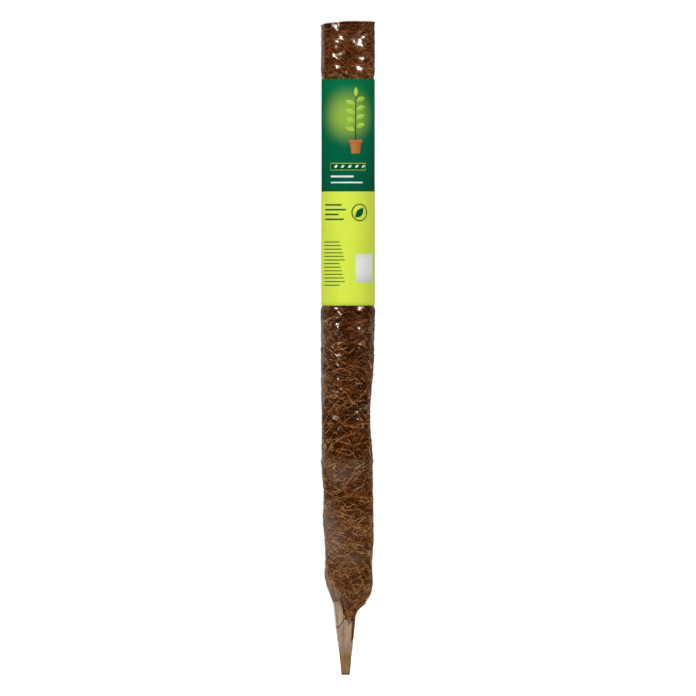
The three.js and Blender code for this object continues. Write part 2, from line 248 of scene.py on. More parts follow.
def remapped(tree, value, given=(0, 1), made=(0, 1), **settings):
    """A value carried in step from the given range to the made one, and held at its ends."""
    inputs = {"Value": value, "From Min": given[0], "From Max": given[1],
              "To Min": made[0], "To Max": made[1]}
    return add_node(tree, "ShaderNodeMapRange", inputs, **settings).outputs[0]


def ramp_colour(tree, value, stops):
    """The colour at a value on a ramp of stops, pairs of position and screen colour in rising order."""
    ramp = add_node(tree, "ShaderNodeValToRGB", {"Fac": value})
    elements = ramp.color_ramp.elements
    elements[0].position, elements[0].color = stops[0][0], shade(stops[0][1])
    elements[1].position, elements[1].color = stops[-1][0], shade(stops[-1][1])
    for position, colour in stops[1:-1]:
        elements.new(position).color = shade(colour)
    return ramp.outputs[0]


def mixed_colour(tree, share, first, second):
    """The first colour where the share is 0, the second where it is 1, and a mix between."""
    return add_node(tree, "ShaderNodeMix", {0: share, 6: first, 7: second}, data_type="RGBA").outputs[2]


def bumped(tree, height, strength, depth):
    """The slope of a fine relief, whose height is a pattern from 0 to 1 times a depth."""
    inputs = {"Strength": strength, "Distance": depth, "Height": height}
    return add_node(tree, "ShaderNodeBump", inputs).outputs[0]


def finish_surface(tree, colour, roughness, shine, **more):
    """Closes a material's tree with a plain surface of a colour, a roughness and a strength of shine."""
    inputs = {"Base Color": colour, "Roughness": roughness, "Specular IOR Level": shine, **more}
    surface = add_node(tree, "ShaderNodeBsdfPrincipled", inputs)
    add_node(tree, "ShaderNodeOutputMaterial", {"Surface": surface.outputs[0]})


def ripple(around, along, seed, count, turns, waves):
    """A smooth uneven field: count sine waves with whole numbers of periods round the pole, from the range
    turns, and wave lengths along it from the range waves, in metres. Its mean square is 1."""
    draw = np.random.default_rng(seed)
    total = np.zeros(np.broadcast(around, along).shape)
    for _ in range(count):
        periods = draw.integers(turns[0], turns[1] + 1) * draw.choice((-1, 1))
        rate = math.tau / draw.uniform(*waves)
        total += np.sin(periods * around + rate * along + draw.uniform(0, math.tau))
    return total * math.sqrt(2 / count)


def share_past(value, start, span):
    """How far a value is past a start, as a share of a span: 0 before the start and 1 after the span."""
    return np.clip((value - start) / span, 0, 1)


def stake_half(z):
    """Half the stake's side at a height: it grows evenly from the tip to the end of the point."""
    return TIP_HALF + (STAKE_HALF - TIP_HALF) * share_past(z, 0, POINT_LENGTH)


def square_reach(angle, sharpness):
    """How far a square of half side 1 reaches at an angle, as a superellipse with eased corners."""
    cosine, sine = np.abs(np.cos(angle)), np.abs(np.sin(angle))
    return (cosine ** sharpness + sine ** sharpness) ** (-1 / sharpness)


def grid_corners(rows, columns, round_columns=True, round_rows=False):
    """The row and the column of each face's four corners on a grid of points, running on past the seams.
    The faces look outwards when rows rise and columns turn left."""
    row, column = np.meshgrid(np.arange(rows if round_rows else rows - 1),
                              np.arange(columns if round_columns else columns - 1), indexing="ij")
    row, column = row.reshape(-1, 1), column.reshape(-1, 1)
    return row + np.array([0, 0, 1, 1]), column + np.array([0, 1, 1, 0])


def grid_faces(rows, columns, round_columns=True, round_rows=False):
    """Four-cornered faces on a grid of points, closed on itself where it is round."""
    row, column = grid_corners(rows, columns, round_columns, round_rows)
    return (row % rows) * columns + column % columns


def end_faces(rows, columns):
    """The two flat ends of a stack of rings, each one face."""
    return [list(range(columns))[::-1], list(range((rows - 1) * columns, rows * columns))]


def add_piece(name, points, faces, materials, replaces=()):
    """A piece of the pole from its points and faces, riding on the pole's one body."""
    mesh = bpy.data.meshes.new(name)
    mesh.from_pydata(np.asarray(points).reshape(-1, 3).tolist(), [], faces)
    mesh.polygons.foreach_set("use_smooth", np.ones(len(mesh.polygons), bool))
    for material in materials:
        mesh.materials.append(material)
    piece = bpy.data.objects.new(name, mesh)
    scene.collection.objects.link(piece)
    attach(piece, "root")
    if replaces:
        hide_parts(*replaces)
    return piece


def stake_surface():
    """Rings of a square up the stake, roughened by saw marks across it and slow waves along it, with plain
    ends."""
    angle = full_turn(STAKE_COLUMNS)[None, :]
    z = np.linspace(0, STAKE_TOP, STAKE_ROWS)[:, None]
    saw = SAW_DEPTH * ripple(angle, z, seed=1, count=6, turns=(0, 3), waves=(0.0022, 0.004))
    waves = WAVE_DEPTH * ripple(angle, z, seed=2, count=8, turns=(2, 9), waves=(0.03, 0.12))
    ends = share_past(np.minimum(z, STAKE_TOP - z), 0, PLAIN_END)
    reach = stake_half(z) * square_reach(angle, STAKE_SHARPNESS) + (saw + waves) * ends
    turned = angle + STAKE_TURN
    return np.stack([reach * np.cos(turned), reach * np.sin(turned), z + 0 * reach], axis=-1)


def timber_material():
    """Softwood: pale and dark grain drawn out along the stake, fine pores, and a browner, bruised tip."""
    material, tree, place = piece_material("bare_timber")
    along = add_node(tree, "ShaderNodeMapping", {"Vector": place, "Scale": GRAIN_SCALE})
    grain = noise_value(tree, along.outputs[0], scale=1.0, detail=6, Roughness=0.62, Distortion=0.4)
    pore_map = add_node(tree, "ShaderNodeMapping", {"Vector": place, "Scale": PORE_SCALE})
    pores = remapped(tree, noise_value(tree, pore_map.outputs[0], scale=1.0, detail=3), (0.3, 0.6))
    tone = ramp_colour(tree, grain, ((0.3, TIMBER_DARK), (0.5, TIMBER_MID), (0.72, TIMBER_PALE)))
    height = add_node(tree, "ShaderNodeSeparateXYZ", {0: place}).outputs["Z"]
    bruise = remapped(tree, height, BRUISED_UP_TO, (0.78, 0.0))
    # The last few mm of the point are darker towards the bottom end.
    end = remapped(tree, height, (0, DARK_END_UP_TO))
    end_tone = ramp_colour(tree, end, ((0.2, TIMBER_END), (0.5, TIMBER_TIP)))
    finish_surface(tree, mixed_colour(tree, bruise, tone, end_tone),
                   roughness=remapped(tree, grain, made=(0.7, 0.95)), shine=0.004,
                   Normal=bumped(tree, pores, strength=0.5, depth=PORE_DEPTH))
    return material


stake_faces = grid_faces(STAKE_ROWS, STAKE_COLUMNS).tolist() + end_faces(STAKE_ROWS, STAKE_COLUMNS)
add_piece("stake", stake_surface(), stake_faces, [timber_material()], ["wooden_stake"])


# The inner mat: a first roll of coconut-fibre felt, pressed on to the stake, which makes the square round.
# Only its ends show, between the stake and the outer mat.
INNER_FOOT, INNER_TOP = (corner[2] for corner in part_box("coir_inner_mat"))
INNER_REACH = 0.01557
BORE_HALF = 0.0103
BORE_SHARPNESS = 30
INNER_COLUMNS = 144
INNER_TUFTS = 0.0002
POLE_MIDDLE = 0.0015
TOP_KNOCK = 0.0021
KNOCK_FROM = 0.57
KNOCK_HEIGHT = 0.03
KNOCK_WIDTH = 0.0215
KNOCK_CORNER = -0.0195
KNOCK_CORNER_WIDTH = 0.0025
KNOCK_CORNER_MORE = 0.6
PITH_DEPTH = 0.0006
# The darkest coir colour is near black: painted shade deep among the fibres.
COIR_SHADE_BLACK = (28, 10, 2)
COIR_DARK = (74, 34, 8)
COIR_MID = (134, 69, 22)
COIR_TAN = (186, 115, 53)
COIR_STRAW = (230, 182, 124)


def felt_material(name, paleness):
    """The bed of the felt: dark brown to near black, the black partly painted shade among the fibres, with
    pith and matted fibre as fine uneven relief.
    """
    material, tree, place = piece_material(name)
    matted = noise_value(tree, place, scale=420, detail=5, Roughness=0.7, Distortion=1.5)
    pith = add_node(tree, "ShaderNodeTexVoronoi", {"Vector": place, "Scale": 900})
    stops = ((0.35, COIR_SHADE_BLACK), (0.6 - paleness, COIR_DARK), (0.8 - paleness, COIR_MID))
    relief = arithmetic(tree, "ADD", matted, pith.outputs["Distance"])
    finish_surface(tree, ramp_colour(tree, matted, stops), roughness=0.95, shine=0.0005,
                   Normal=bumped(tree, relief, strength=0.8, depth=PITH_DEPTH))
    return material


def knocked_in(points):
    """Points of the pole's top end, lowered where its left edge was knocked in: more and more from the
    middle to the left, most of all at the corner, and fading out downwards."""
    x = points[..., 0]
    left = share_past(POLE_MIDDLE - x, 0, KNOCK_WIDTH)
    left = left + KNOCK_CORNER_MORE * share_past(KNOCK_CORNER - x, 0, KNOCK_CORNER_WIDTH)
    points[..., 2] -= TOP_KNOCK * left * share_past(points[..., 2], KNOCK_FROM, KNOCK_HEIGHT)
    return points


def inner_roll():
    """A square bore and a round face, joined over uneven ends, as one closed loop of rings."""
    angle = full_turn(INNER_COLUMNS)
    share = np.array([0, 0, 0.5, 1, 1, 0.5])[:, None]
    high = np.array([0, 1, 1, 1, 0, 0])[:, None]
    bore = BORE_HALF * square_reach(angle - STAKE_TURN, BORE_SHARPNESS)
    reach = bore + (INNER_REACH - bore) * share
    z = INNER_FOOT + (INNER_TOP - INNER_FOOT) * high
    tufts = INNER_TUFTS * ripple(angle, 0 * angle, seed=10, count=9, turns=(4, 20), waves=(1, 2))
    tufts = tufts * (share == 0.5) * (2 * high - 1)
    rings = np.stack([reach * np.cos(angle), reach * np.sin(angle), z + tufts], axis=-1)
    return knocked_in(rings[::-1])


inner_points = inner_roll()
inner_faces = grid_faces(len(inner_points), INNER_COLUMNS, round_rows=True).tolist()
add_piece("coir_inner", inner_points, inner_faces, [felt_material("coir_inner_felt", paleness=0.06)],
          ["coir_inner_mat"])


# The outer mat: a second roll of the same felt, which is what shows through the film. It is dark and lumpy,
# drawn in at the foot and where the thread pulls on it.
# Each level: height, radius, shift to the right and slant, the slant being the change of height with x.
COIR_LEVELS = np.array([
    (0.0730, 0.01577, 0.0004, -0.50),
    (0.0773, 0.01788, 0.0012, -0.44),
    (0.0818, 0.01984, 0.0018, -0.40),
    (0.0868, 0.02090, 0.0023, -0.33),
    (0.0913, 0.02080, 0.0027, -0.26),
    (0.1008, 0.02027, 0.0027, 0.0),
    (0.1108, 0.02077, 0.0031, 0.0),
    (0.1248, 0.02147, 0.0032, 0.0),
    (0.1468, 0.02187, 0.0026, 0.0),
    (0.2058, 0.02217, 0.0013, 0.0),
    (0.2278, 0.02157, 0.0006, 0.0),
    (0.2428, 0.02107, 0.0000, 0.0),
    (0.2578, 0.02177, 0.0007, 0.0),
    (0.2938, 0.02287, 0.0019, 0.0),
    (0.3378, 0.02287, 0.0021, 0.0),
    (0.5990, 0.02287, 0.0021, 0.0),
])
COIR_FOOT = COIR_LEVELS[0, 0]
COIR_TOP = COIR_LEVELS[-1, 0]
OUTER_BORE = 0.01587
LEVEL_SPREAD = 0.003
LUMPS = 0.00020
TUFTS = 0.00014
SIDE_SWELL = 0.0007
SWELL_FROM = 0.26
SWELL_RISE = 0.03
SIDE_WIDTH = 0.35
BED_LIFT = 0.0004
BED_EDGE = 0.001
BED_EDGE_HEIGHT = 0.002
BED_TOP_TUFTS = 0.0003
BED_COLUMNS = 180
BED_ROWS = 330
LABEL_EASE = 0.004
FELT_PRESSED = 0.85
LIFT_PRESSED = 0.42
LABEL_BOTTOM, LABEL_TOP = (corner[2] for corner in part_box("label_band"))


def smooth_profile(heights, values, z):
    """Straight runs between the levels, with their corners rounded by a bell-shaped mean over the spread."""
    offsets = np.linspace(-2, 2, 9) * LEVEL_SPREAD
    weights = np.exp(-0.5 * (offsets / LEVEL_SPREAD) ** 2)
    total = sum(w * np.interp(z + o, heights, values) for o, w in zip(offsets, weights))
    return total / weights.sum()


def bell(distance, width):
    """1 at a distance of 0, falling off smoothly over the width."""
    return np.exp(-(distance / width) ** 2)


def nearest_turn(angle, target):
    """The angle from a target direction, between minus and plus half a turn."""
    return (angle - target + math.pi) % math.tau - math.pi


def label_hold(z):
    """1 behind the label, which presses all under it flat, falling to 0 just past its edges."""
    return np.clip(1 + np.minimum(z - LABEL_BOTTOM, LABEL_TOP - z) / LABEL_EASE, 0, 1)


def coir_relief(angle, z):
    """How far the felt stands in and out: broad lumps, smaller tufts, and the swell along both sides, where
    the flat sleeve has its folds and leaves the coir room above and below the label."""
    broad = ripple(angle, z, seed=11, count=10, turns=(1, 4), waves=(0.03, 0.09))
    tufts = ripple(angle, z, seed=12, count=16, turns=(4, 16), waves=(0.007, 0.02))
    sides = bell(nearest_turn(angle, 0), SIDE_WIDTH) + bell(nearest_turn(angle, math.pi), SIDE_WIDTH)
    swell = SIDE_SWELL * share_past(z, SWELL_FROM, SWELL_RISE) * (1 - label_hold(z)) * sides
    return (LUMPS * broad + TUFTS * tufts) * (1 - FELT_PRESSED * label_hold(z)) + swell


def on_coir(angle, z, lift):
    """The point at an angle and level of the coir's face, lifted outwards: a round section of the level's
    radius about its shifted middle, tipped by the level's slant."""
    heights = COIR_LEVELS[:, 0]
    radius, shift, slant = (smooth_profile(heights, COIR_LEVELS[:, k], z) for k in (1, 2, 3))
    reach = radius + lift * (1 - LIFT_PRESSED * label_hold(z)) + coir_relief(angle, z)
    out = reach * np.cos(angle)
    return knocked_in(np.stack([shift + out, reach * np.sin(angle), z + slant * out], axis=-1))


def outer_bed():
    """Rings up the face of the mat, over its uneven top end, down the round bore and back to the foot."""
    angle = full_turn(BED_COLUMNS)[None, :]
    z = np.linspace(COIR_FOOT, COIR_TOP, BED_ROWS)[:, None]
    edge = share_past(np.minimum(z - COIR_FOOT, COIR_TOP - z), 0, BED_EDGE_HEIGHT)
    face = on_coir(angle, z, BED_LIFT - BED_EDGE * (1 - np.sqrt(edge)))
    bore = OUTER_BORE * np.stack([np.cos(angle[0]), np.sin(angle[0]), 0 * angle[0]], axis=-1)
    top, foot = bore + (0, 0, COIR_TOP), bore + (0, 0, COIR_FOOT)
    foot[:, 2] += COIR_LEVELS[0, 3] * foot[:, 0]
    inside = 0.5 * (face[-1] + top)
    tufts = ripple(angle[0], 0 * angle[0], seed=13, count=8, turns=(3, 12), waves=(1, 2))
    inside[:, 2] = COIR_TOP - BED_TOP_TUFTS + BED_TOP_TUFTS * tufts
    return np.concatenate([face, knocked_in(inside)[None], knocked_in(top)[None], foot[None]])


bed_points = outer_bed()
bed_faces = grid_faces(len(bed_points), BED_COLUMNS, round_rows=True).tolist()
add_piece("coir_bed", bed_points, bed_faces, [felt_material("coir_outer_felt", paleness=0.0)],
          ["coir_outer_mat"])


# The fibres of the outer mat: stiff brown hairs, laid every way and felted together. Layers of them cover
# the bed, from ones deep in the felt to long pale ones and short ends on its face; the deeper layers are
# darker, as painted shade.
FIBRE_SIDES = 3
PIECE_TRIANGLES = 196000
FELT_REACH = 0.0225
FIBRE_DIP = 0.0006
FIBRE_ARCH = 0.4
FIBRE_TIP = 0.35
MAP_MARGIN = 0.08
TOP_BAND = (0.0118, 0.0224)
TOP_EDGES = (0.0112, 0.0226)
TOP_GAP = 0.0004
TOP_RISE = (-0.0004, 0.0003)
FRONT = -math.pi / 2
# How much darker, as painted shade, the strands are along both sides, and how wide that shade is.
EDGE_PAINTED_SHADE = 0.25
EDGE_PAINTED_SHADE_WIDTH = 0.18
TINY = 1e-12
LAYER_SEED = 20
TOP_SEED = 30
# How much paler the strands are at a height, how far their shades spread there, and how much paler the left
# and the right of the felt are.
PALER_AT = (0.07, 0.09, 0.15, 0.24, 0.34, 0.54)
PALER_BY = (0, 0.14, 0.13, 0.0, -0.02, 0.08)
SPREAD_AT = (0.15, 0.24, 0.5, 0.56)
SPREAD_BY = (1.3, 1.05, 1.0, 0.62)
LEFT_PALER_AT = (0.17, 0.21, 0.33, 0.54)
LEFT_PALER_BY = (0.0, 0.07, 0.10, -0.03)
RIGHT_PALER_AT = (0.33, 0.54)
RIGHT_PALER_BY = (0.0, 0.07)
PALER_TURN = 0.9
LEFT_PALER_WIDTH = 0.3
RIGHT_PALER_WIDTH = 0.4
TONE_MIDDLE = 0.4
TONE_DRAW = (0.65, 0.95)


def wander(count, steps, length, heading, bend, draw):
    """Steps of strands on a flat sheet. A strand sets off at an angle of up to heading from level, turns by
    bend on its way and weaves a little. Returns its running place along and across the level."""
    along = np.linspace(0, 1, steps + 1)[None, :]
    start = draw.uniform(-1, 1, (count, 1)) * heading + math.pi * draw.integers(0, 2, (count, 1))
    turn = draw.normal(0, bend, (count, 1)) * (along - 0.5)
    sway = draw.normal(0, 0.3 * bend, (count, 1))
    sway = sway * np.sin(math.tau * (along + draw.random((count, 1))))
    stride = draw.uniform(*length, (count, 1)) / steps
    direction = start + turn + sway
    return np.cumsum(np.cos(direction), axis=1) * stride, np.cumsum(np.sin(direction), axis=1) * stride


def face_strands(count, steps, length, heading, bend, lift, draw):
    """Strands on the coir's face. The middle of each rises to its lift and its ends dip into the felt."""
    around, up = wander(count, steps, length, heading, bend, draw)
    angle = draw.uniform(0, math.tau, (count, 1)) + around / FELT_REACH
    level = np.clip(draw.uniform(COIR_FOOT, COIR_TOP, (count, 1)) + up, COIR_FOOT, COIR_TOP)
    along = np.linspace(0.02, 0.98, steps + 1)[None, :]
    rise = draw.uniform(*lift, (count, 1)) - FIBRE_DIP * (1 - np.sin(math.pi * along) ** FIBRE_ARCH)
    return on_coir(angle, level, rise)


def strand_tubes(paths, radii):
    """A tube of three sides along each path, thinner towards its ends. Its section lies square to the path,
    turned by the direction away from the pole's axis."""
    count, points, _ = paths.shape
    ahead = np.gradient(paths, axis=1)
    ahead /= np.linalg.norm(ahead, axis=2, keepdims=True) + TINY
    side = np.cross(ahead, paths * (1, 1, 0) + (0, 0, 0.003))
    side /= np.linalg.norm(side, axis=2, keepdims=True) + TINY
    up = np.cross(side, ahead)
    taper = FIBRE_TIP + (1 - FIBRE_TIP) * np.sin(math.pi * np.linspace(0.06, 0.94, points)) ** 0.5
    thick = radii[:, None, None, None] * taper[None, :, None, None]
    turn = math.tau * np.arange(FIBRE_SIDES) / FIBRE_SIDES
    ring = np.cos(turn)[:, None] * up[:, :, None, :] + np.sin(turn)[:, None] * side[:, :, None, :]
    return paths[:, :, None, :] + thick * ring


def strand_faces(count, points):
    """The faces of all the tubes: the sides of every strand, then the two ends of every strand."""
    first = (np.arange(count) * points * FIBRE_SIDES)[:, None, None]
    walls = (grid_faces(points, FIBRE_SIDES)[None] + first).reshape(-1, 4)
    ends = np.stack([np.array([2, 1, 0]), np.arange(FIBRE_SIDES) + (points - 1) * FIBRE_SIDES])
    return walls.tolist() + (ends[None] + first).reshape(-1, 3).tolist()


def strand_map(count, points):
    """A map with one small square for each strand: along the strand by round it, walls first, then ends."""
    across = math.ceil(math.sqrt(count))
    cell = np.stack([np.arange(count) % across, np.arange(count) // across], axis=1)[:, None, :]
    row, column = grid_corners(points, FIBRE_SIDES)
    inside = np.stack([row / (points - 1), column / FIBRE_SIDES], axis=-1).reshape(-1, 2)
    inside = inside * (1 - 2 * MAP_MARGIN) + MAP_MARGIN
    tips = np.array([(0.1, 0.2), (0.1, 0.5), (0.1, 0.8), (0.9, 0.2), (0.9, 0.5), (0.9, 0.8)])
    return np.concatenate([(cell + inside).reshape(-1, 2), (cell + tips).reshape(-1, 2)]) / across


def fibre_material():
    """One fibre: its own shade of brown from the strand's tone, with lighter and darker bark along it."""
    material, tree, place = piece_material("coir_fibre")
    tone = add_node(tree, "ShaderNodeAttribute", attribute_name="tone").outputs["Fac"]
    bark = remapped(tree, noise_value(tree, place, scale=600, detail=2), (0.3, 0.7), (-0.15, 0.15))
    brown = ramp_colour(tree, arithmetic(tree, "ADD", tone, bark),
                        ((0.0, COIR_SHADE_BLACK), (0.25, COIR_DARK), (0.55, COIR_MID), (0.8, COIR_TAN),
                         (1.0, COIR_STRAW)))
    finish_surface(tree, brown, roughness=0.75, shine=0.0005)
    return material


def side_tone(points):
    """How much paler than the rest the felt is at a point: on the left below the label and on the right near
    the top. It is darker along both sides, where the sleeve's folds lie, as painted shade on its outline."""
    front = nearest_turn(np.arctan2(points[..., 1], points[..., 0] - POLE_MIDDLE), FRONT)
    z = points[..., 2]
    left = np.interp(z, LEFT_PALER_AT, LEFT_PALER_BY) * bell(front + PALER_TURN, LEFT_PALER_WIDTH)
    right = np.interp(z, RIGHT_PALER_AT, RIGHT_PALER_BY) * bell(front - PALER_TURN, RIGHT_PALER_WIDTH)
    # Painted shade: the strands are darkened along the left and right sides of the pole.
    folds = bell(front + math.pi / 2, EDGE_PAINTED_SHADE_WIDTH) + bell(front - math.pi / 2, EDGE_PAINTED_SHADE_WIDTH)
    return left + right - EDGE_PAINTED_SHADE * folds


def mark_points(piece, name, values):
    """Keeps a value for each point of a piece, for its material to read."""
    mark = piece.data.attributes.new(name, "FLOAT", "POINT")
    mark.data.foreach_set("value", values.astype(np.float32).ravel())


def lay_map(piece, places):
    """Gives a piece its own flat map, with a place on it for each corner of each face."""
    layer = piece.data.uv_layers.new(name="OFBake")
    layer.data.foreach_set("uv", places.astype(np.float32).ravel())


def add_fibres(name, paths, thick, tones, draw):
    """One piece of loose strands, with each strand's tone on its points and its square on the map. A tone is
    drawn between the two tones, mostly near one of them, and made paler by the strand's height and side."""
    count, points, _ = paths.shape
    tubes = strand_tubes(paths, draw.uniform(*thick, count))
    piece = add_piece(name, tubes, strand_faces(count, points), [fibre_brown])
    middles = paths[:, points // 2, 2]
    paler = np.interp(middles, PALER_AT, PALER_BY)
    spread = np.interp(middles, SPREAD_AT, SPREAD_BY)
    drawn = TONE_MIDDLE + spread * (draw.beta(*TONE_DRAW, count) - TONE_MIDDLE)
    shades = paler + tones[0] + (tones[1] - tones[0]) * drawn
    mark_points(piece, "tone", shades[:, None, None] + side_tone(tubes))
    lay_map(piece, strand_map(count, points))


# The deeper a layer lies, the darker its tones: painted shade in the felt.
# Each layer: name, steps, length, heading, bend, lift, thickness and tones.
FIBRE_LAYERS = (
    ("deep", 7, (0.018, 0.040), 0.8, 0.6, (0.0004, 0.0006), (0.00022, 0.00034), (0.00, 0.32)),
    ("lower", 8, (0.016, 0.036), 0.8, 0.7, (0.0005, 0.0008), (0.00022, 0.00034), (0.00, 0.58)),
    ("middle", 8, (0.012, 0.030), 0.85, 0.75, (0.0006, 0.0009), (0.00020, 0.00032), (0.00, 0.85)),
    ("face", 10, (0.012, 0.028), 0.9, 0.8, (0.0007, 0.0009), (0.00018, 0.00030), (0.05, 1.00)),
    ("short", 4, (0.004, 0.009), 0.9, 1.0, (0.0008, 0.0010), (0.00016, 0.00026), (0.05, 1.05)),
)
fibre_brown = fibre_material()
for seed, (name, steps, length, heading, bend, lift, thick, tones) in enumerate(FIBRE_LAYERS, LAYER_SEED):
    strand_draw = np.random.default_rng(seed)
    count = PIECE_TRIANGLES // (steps * FIBRE_SIDES * 2 + 2)
    layer_paths = face_strands(count, steps, length, heading, bend, lift, strand_draw)
    add_fibres("coir_fibres_" + name, layer_paths, thick, tones, strand_draw)


def top_strands(count, steps, draw):
    """Strands laid flat on the top end of the mats, bent round the stake: each wanders round the axis and
    across a ring, and keeps off the stake's square."""
    around, across = wander(count, steps, length=(0.008, 0.025), heading=0.7, bend=1.0, draw=draw)
    start = np.sqrt(draw.uniform(TOP_BAND[0] ** 2, TOP_BAND[1] ** 2, (count, 1)))
    reach = np.clip(start + across, *TOP_EDGES)
    angle = draw.uniform(0, math.tau, (count, 1)) + around / reach
    square = np.maximum(reach, TOP_GAP + BORE_HALF * square_reach(angle - STAKE_TURN, BORE_SHARPNESS))
    x = COIR_LEVELS[-1, 2] * (square / FELT_REACH) ** 2 + square * np.cos(angle)
    z = COIR_TOP + draw.uniform(*TOP_RISE, (count, 1)) + 0 * around
    return knocked_in(np.stack([x, square * np.sin(angle), z], axis=-1))


top_draw = np.random.default_rng(TOP_SEED)
top_paths = top_strands(count=1800, steps=8, draw=top_draw)
add_fibres("coir_fibres_top", top_paths, thick=(0.00012, 0.00022), tones=(0.1, 0.8), draw=top_draw)


# The thread: clear nylon line, tied with two tight turns near the foot and the top and wound up the coir in
# a long spiral between them, its ends poked into the felt.
THREAD_RADIUS = 0.0003
THREAD_LIFT = 0.00085
THREAD_PITCH = 0.0725
THREAD_TIE_TURNS = 2
THREAD_TIE_PITCH = 0.0024
THREAD_ABOVE_FOOT = 0.030
THREAD_FOOT = COIR_FOOT + THREAD_ABOVE_FOOT
THREAD_TOP = 0.588
THREAD_TUCK = 0.004
THREAD_TAIL = 0.003
THREAD_STEPS = 60
THREAD_SIDES = 10

tie_height = THREAD_TIE_TURNS * THREAD_TIE_PITCH
thread_turns = 2 * THREAD_TIE_TURNS + (THREAD_TOP - THREAD_FOOT - 2 * tie_height) / THREAD_PITCH


def thread_path():
    """The wound line: slow in height in the two ties and fast between them, its tails bent into the felt."""
    turn = np.linspace(0, thread_turns, int(thread_turns * THREAD_STEPS))
    z = np.interp(turn, (0, THREAD_TIE_TURNS, thread_turns - THREAD_TIE_TURNS, thread_turns),
                  (THREAD_FOOT, THREAD_FOOT + tie_height, THREAD_TOP - tie_height, THREAD_TOP))
    from_end = np.minimum(turn, thread_turns - turn) * math.tau * FELT_REACH
    tail = np.clip(1 - from_end / THREAD_TAIL, 0, 1) ** 2
    return on_coir(math.tau * turn, z, THREAD_LIFT - THREAD_TUCK * tail)


def tube(path, radius, sides):
    """Rings along a path, each square to it, with one side turned away from the pole's axis."""
    ahead = np.gradient(path, axis=0)
    ahead /= np.linalg.norm(ahead, axis=1, keepdims=True)
    side = np.cross(ahead, path * (1, 1, 0))
    side /= np.linalg.norm(side, axis=1, keepdims=True)
    up = np.cross(side, ahead)
    turn = math.tau * np.arange(sides) / sides
    ring = np.cos(turn)[:, None] * up[:, None, :] + np.sin(turn)[:, None] * side[:, None, :]
    return path[:, None, :] + radius * ring


def thread_material():
    """Clear nylon, cloudy and a little brown from what lies under it, with a faint shine."""
    material, tree, place = piece_material("nylon_thread")
    cloud = noise_value(tree, place, scale=160, detail=2)
    tint = ramp_colour(tree, cloud, ((0.35, (112, 72, 38)), (0.65, (176, 136, 92))))
    finish_surface(tree, tint, roughness=0.35, shine=0.02, Alpha=0.5)
    return material


thread_points = tube(thread_path(), THREAD_RADIUS, THREAD_SIDES)
thread_faces = grid_faces(len(thread_points), THREAD_SIDES).tolist()
thread_faces += end_faces(len(thread_points), THREAD_SIDES)
add_piece("thread", thread_points, thread_faces, [thread_material()], ["binding_thread"])


# The film: a clear sleeve shrunk with heat over coir and stake. It shows the thread and the tufts as ridges,
# is gathered in pleats at the neck, ends ragged near the point and is turned in over the top.
FILM_FOOT = 0.022
FILM_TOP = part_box("film_sleeve")[1][2]
FILM_LIFT = 0.0013
FILM_WALL = 0.00012
FILM_COLUMNS = 116
FILM_STEP = 0.001
FILM_SPLIT = 0.215
INSIDE_KIND = 2
FRONT_CROWDING = 0.45
NECK_LEVEL = 0.056
NECK_SLANT = -0.45
NECK_ROWS = 28
FUNNEL_ROWS = 20
HIDDEN_ROWS = 24
HIDDEN_FROM = 0.006
LIP_ROWS = 12
LIP_WIDTH = 0.006
LIP_WAVES = 0.0012
LIP_DROP = 0.0003
LIP_BEND = 0.4
# Its relief on the coir: flatter low down and behind the label, with broad hollows near the top.
DENTS = 0.00013
CRINKLES = 0.00008
CRINKLES_LOST = 0.00006
HOLLOWS = 0.0005
DEEPEST_DENT = 0.00015
UPPER_FROM = 0.53
UPPER_RISE = 0.02
SMOOTH_SHARE = 0.2
SMOOTH_UP_TO = 0.19
SMOOTH_FADE = 0.05
FILM_PRESSED = 0.8
THREAD_RIDGE = 0.00022
RIDGE_WIDTH = 0.0013
# How loosely it lies on the stake, and how the funnel flares from there to the coir.
NECK_GAP = 0.0003
NECK_SLACK = 0.0002
LEFT_CORNER = STAKE_TURN - 0.75 * math.pi
CORNER_SLACK = 0.0005
CORNER_WIDTH = 0.25
SLACK_FROM = 0.024
SLACK_RISE = 0.01
FRONT_SLACK = 0.0006
FRONT_SLACK_FROM = 0.042
FRONT_SLACK_TURN = 0.4
FRONT_SLACK_WIDTH = 0.6
NECK_SHARPNESS = 24
PLEATS = 0.00010
PLEATS_RISE = 0.03
PLEATS_LEAST = 0.2
RAGGED_EDGE = 0.0009
RAGGED_HEIGHT = 0.01
FUNNEL_FOLDS = 0.012
FUNNEL_FLARE = 1.12
FUNNEL_LEAN = 0.33
FUNNEL_STEEPNESS = 0.72
# Its fine wrinkles, which fade out on the lower part, and the little that clear film still covers.
WRINKLE_SIZE = (0.004, 0.004, 0.0011)
WRINKLE_TILT = 0.5
WRINKLE_DEPTH = 0.0004
WRINKLED_FROM = (0.19, 0.28)
LEAST_COVER = 0.004
# The thin haze on the lower coir, milky film and painted soft sheen: how much there is at a height, and
# its share at an angle from the front.
HAZE_LEVEL = (0.055, 0.062, 0.068, 0.080, 0.096, 0.110, 0.135, 0.158, 0.168, 0.180, 0.192, 0.206)
HAZE_AND_SHEEN_AMOUNT = (0.0, 0.10, 0.15, 0.08, 0.06, 0.115, 0.12, 0.02, 0.01, 0.13, 0.15, 0.0)
HAZE_TURN = (-math.pi, -2.2, -1.1, -0.6, 0.0, 0.4, 0.75, 1.1, math.pi)
HAZE_SHARE = (0.8, 1.0, 1.3, 1.1, 1.0, 0.85, 0.55, 0.8, 0.8)
HAZE_LIMIT = 0.24
